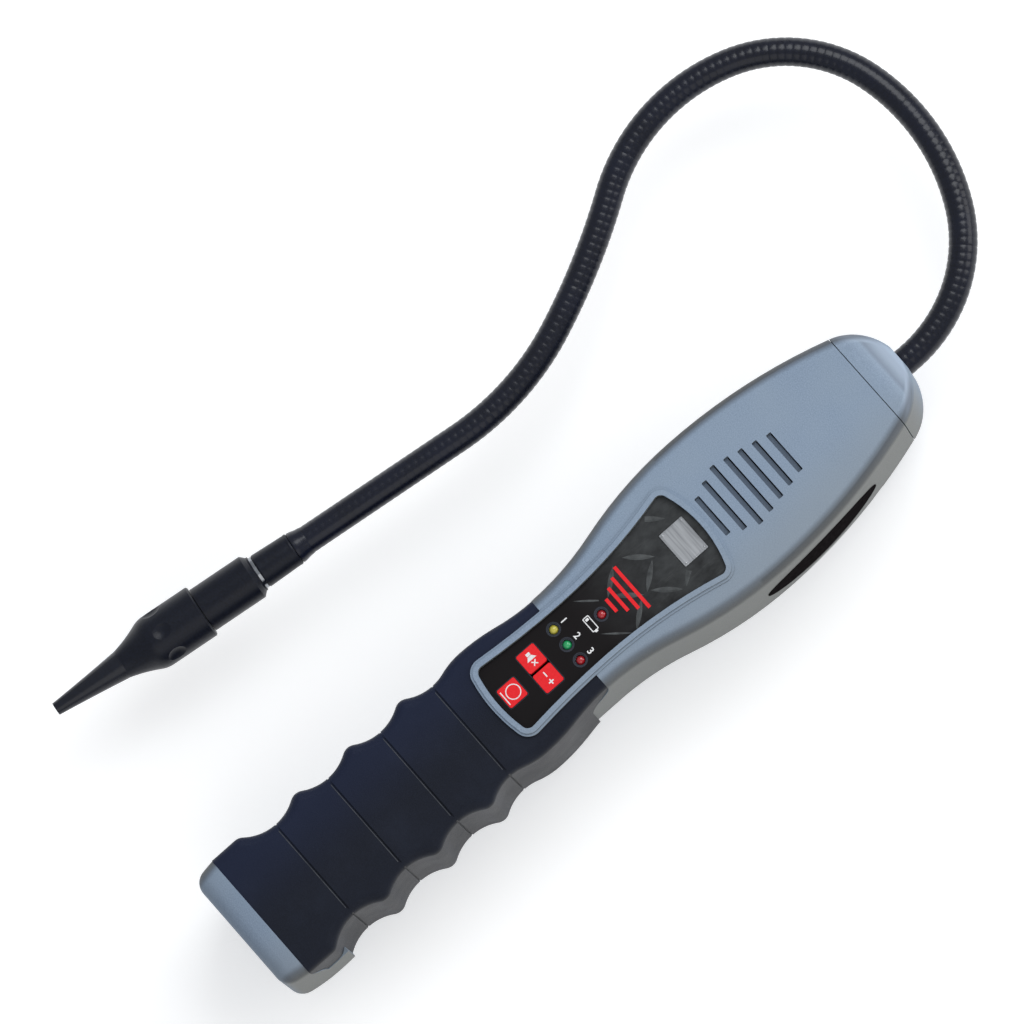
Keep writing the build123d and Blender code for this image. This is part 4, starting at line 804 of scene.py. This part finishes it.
flare_outside = [(-4.6, 4.42), (-3.9, 4.55), (-2.8, 4.64), (-1.6, 4.95), (-0.5, 5.12), (-0.1, 5.1)]
turned("neck_flare", flare_outside + [(-0.1, 4.41), (-4.6, 4.41)], LOOKS["neck_black"])
lip_profile = [(0.25, 5.18), (0.5, 5.3), (0.95, 5.3), (1.2, 5.21), (1.2, 5.1), (0.25, 5.1)]
turned("ferrule_lip", lip_profile, LOOKS["tip_black"])


# ------------------------------------------------- floor, light and camera


FLOOR_Z = -9.0
FLOOR_HALF = 2000
FLOOR_GLOW = 0.42


def white_floor():
    """A pale floor under the neck's lowest reach, white to the eye but still shaded by the object."""
    form = bmesh.new()
    bmesh.ops.create_grid(form, x_segments=8, y_segments=8, size=FLOOR_HALF)
    bmesh.ops.translate(form, vec=(0, 0, FLOOR_Z), verts=form.verts)
    bmesh.ops.scale(form, vec=(MM, MM, MM), verts=form.verts)
    mesh = bpy.data.meshes.new("floor")
    form.to_mesh(mesh)
    form.free()
    floor = bpy.data.objects.new("floor", mesh)
    bpy.context.scene.collection.objects.link(floor)
    look = Look("floor", Roughness=0.9, Specular_IOR_Level=0.0)
    grain = look.noise(30, 2.0)
    look.colour(look.mix(grain, (0.80, 0.80, 0.80, 1), (0.82, 0.82, 0.82, 1)))
    paths = look.node("ShaderNodeLightPath").outputs
    in_view = look.math("MAXIMUM", paths["Is Camera Ray"], paths["Is Glossy Ray"])
    seen = look.math("MAXIMUM", in_view, paths["Is Transmission Ray"])
    look.shader.inputs["Emission Color"].default_value = (1, 1, 1, 1)
    look.put(look.math("MULTIPLY", seen, FLOOR_GLOW), look.shader.inputs["Emission Strength"])
    mesh.materials.append(look.material)


MIDDLE = Vector((-0.03, -0.03, 0.02))
SKY_COLOUR = (0.93, 0.96, 1.0, 1)
SKY_STRENGTH = 0.5


def soft_light(name, place, size, power, colour):
    """A square area light that faces the middle of the object."""
    data = bpy.data.lights.new(name, "AREA")
    data.size = size
    data.energy = power
    data.color = colour
    made = bpy.data.objects.new(name, data)
    made.location = place
    made.rotation_euler = (MIDDLE - Vector(place)).to_track_quat("-Z", "Y").to_euler()
    bpy.context.scene.collection.objects.link(made)


white_floor()
world = bpy.data.worlds.new("studio")
world.use_nodes = True
world.node_tree.nodes["Background"].inputs["Color"].default_value = SKY_COLOUR
world.node_tree.nodes["Background"].inputs["Strength"].default_value = SKY_STRENGTH
bpy.context.scene.world = world
soft_light("key", (-0.42, 0.72, 1.2), 0.9, 9.0, (0.96, 0.98, 1.0))
soft_light("fill", (0.9, -0.5, 1.1), 1.2, 3.0, (1.0, 0.97, 0.92))
soft_light("nose", (0.5, 1.2, 0.65), 0.8, 4.5, (0.98, 0.98, 0.98))

# The camera looks down on the front, tilted a little towards the right side and turned in its frame.
TILT = radians(10.8)
CAMERA_DISTANCE = 4.0
FRAME_WIDTH = 0.30729
SENSOR_WIDTH = 36.0
LENGTH_SHARE = 0.7497
SLANT_SHARE = 0.6618
CAMERA_TARGET = Vector((-0.0449, -0.0485, 0.020))
camera_data = bpy.data.cameras.new("camera")
camera_data.sensor_width = SENSOR_WIDTH
camera_data.lens = SENSOR_WIDTH * CAMERA_DISTANCE / FRAME_WIDTH
camera = bpy.data.objects.new("camera", camera_data)
bpy.context.scene.collection.objects.link(camera)
back = Vector((sin(TILT), 0, cos(TILT)))
slant = Vector((cos(TILT), 0, -sin(TILT)))
lengthwise = Vector((0, 1, 0))
right = LENGTH_SHARE * lengthwise + SLANT_SHARE * slant
up = SLANT_SHARE * lengthwise - LENGTH_SHARE * slant
turn = Matrix((right.normalized(), up.normalized(), back)).transposed().to_4x4()
camera.matrix_world = Matrix.Translation(CAMERA_TARGET + back * CAMERA_DISTANCE) @ turn
bpy.context.scene.camera = camera
bpy.context.scene.view_settings.view_transform = "Standard"
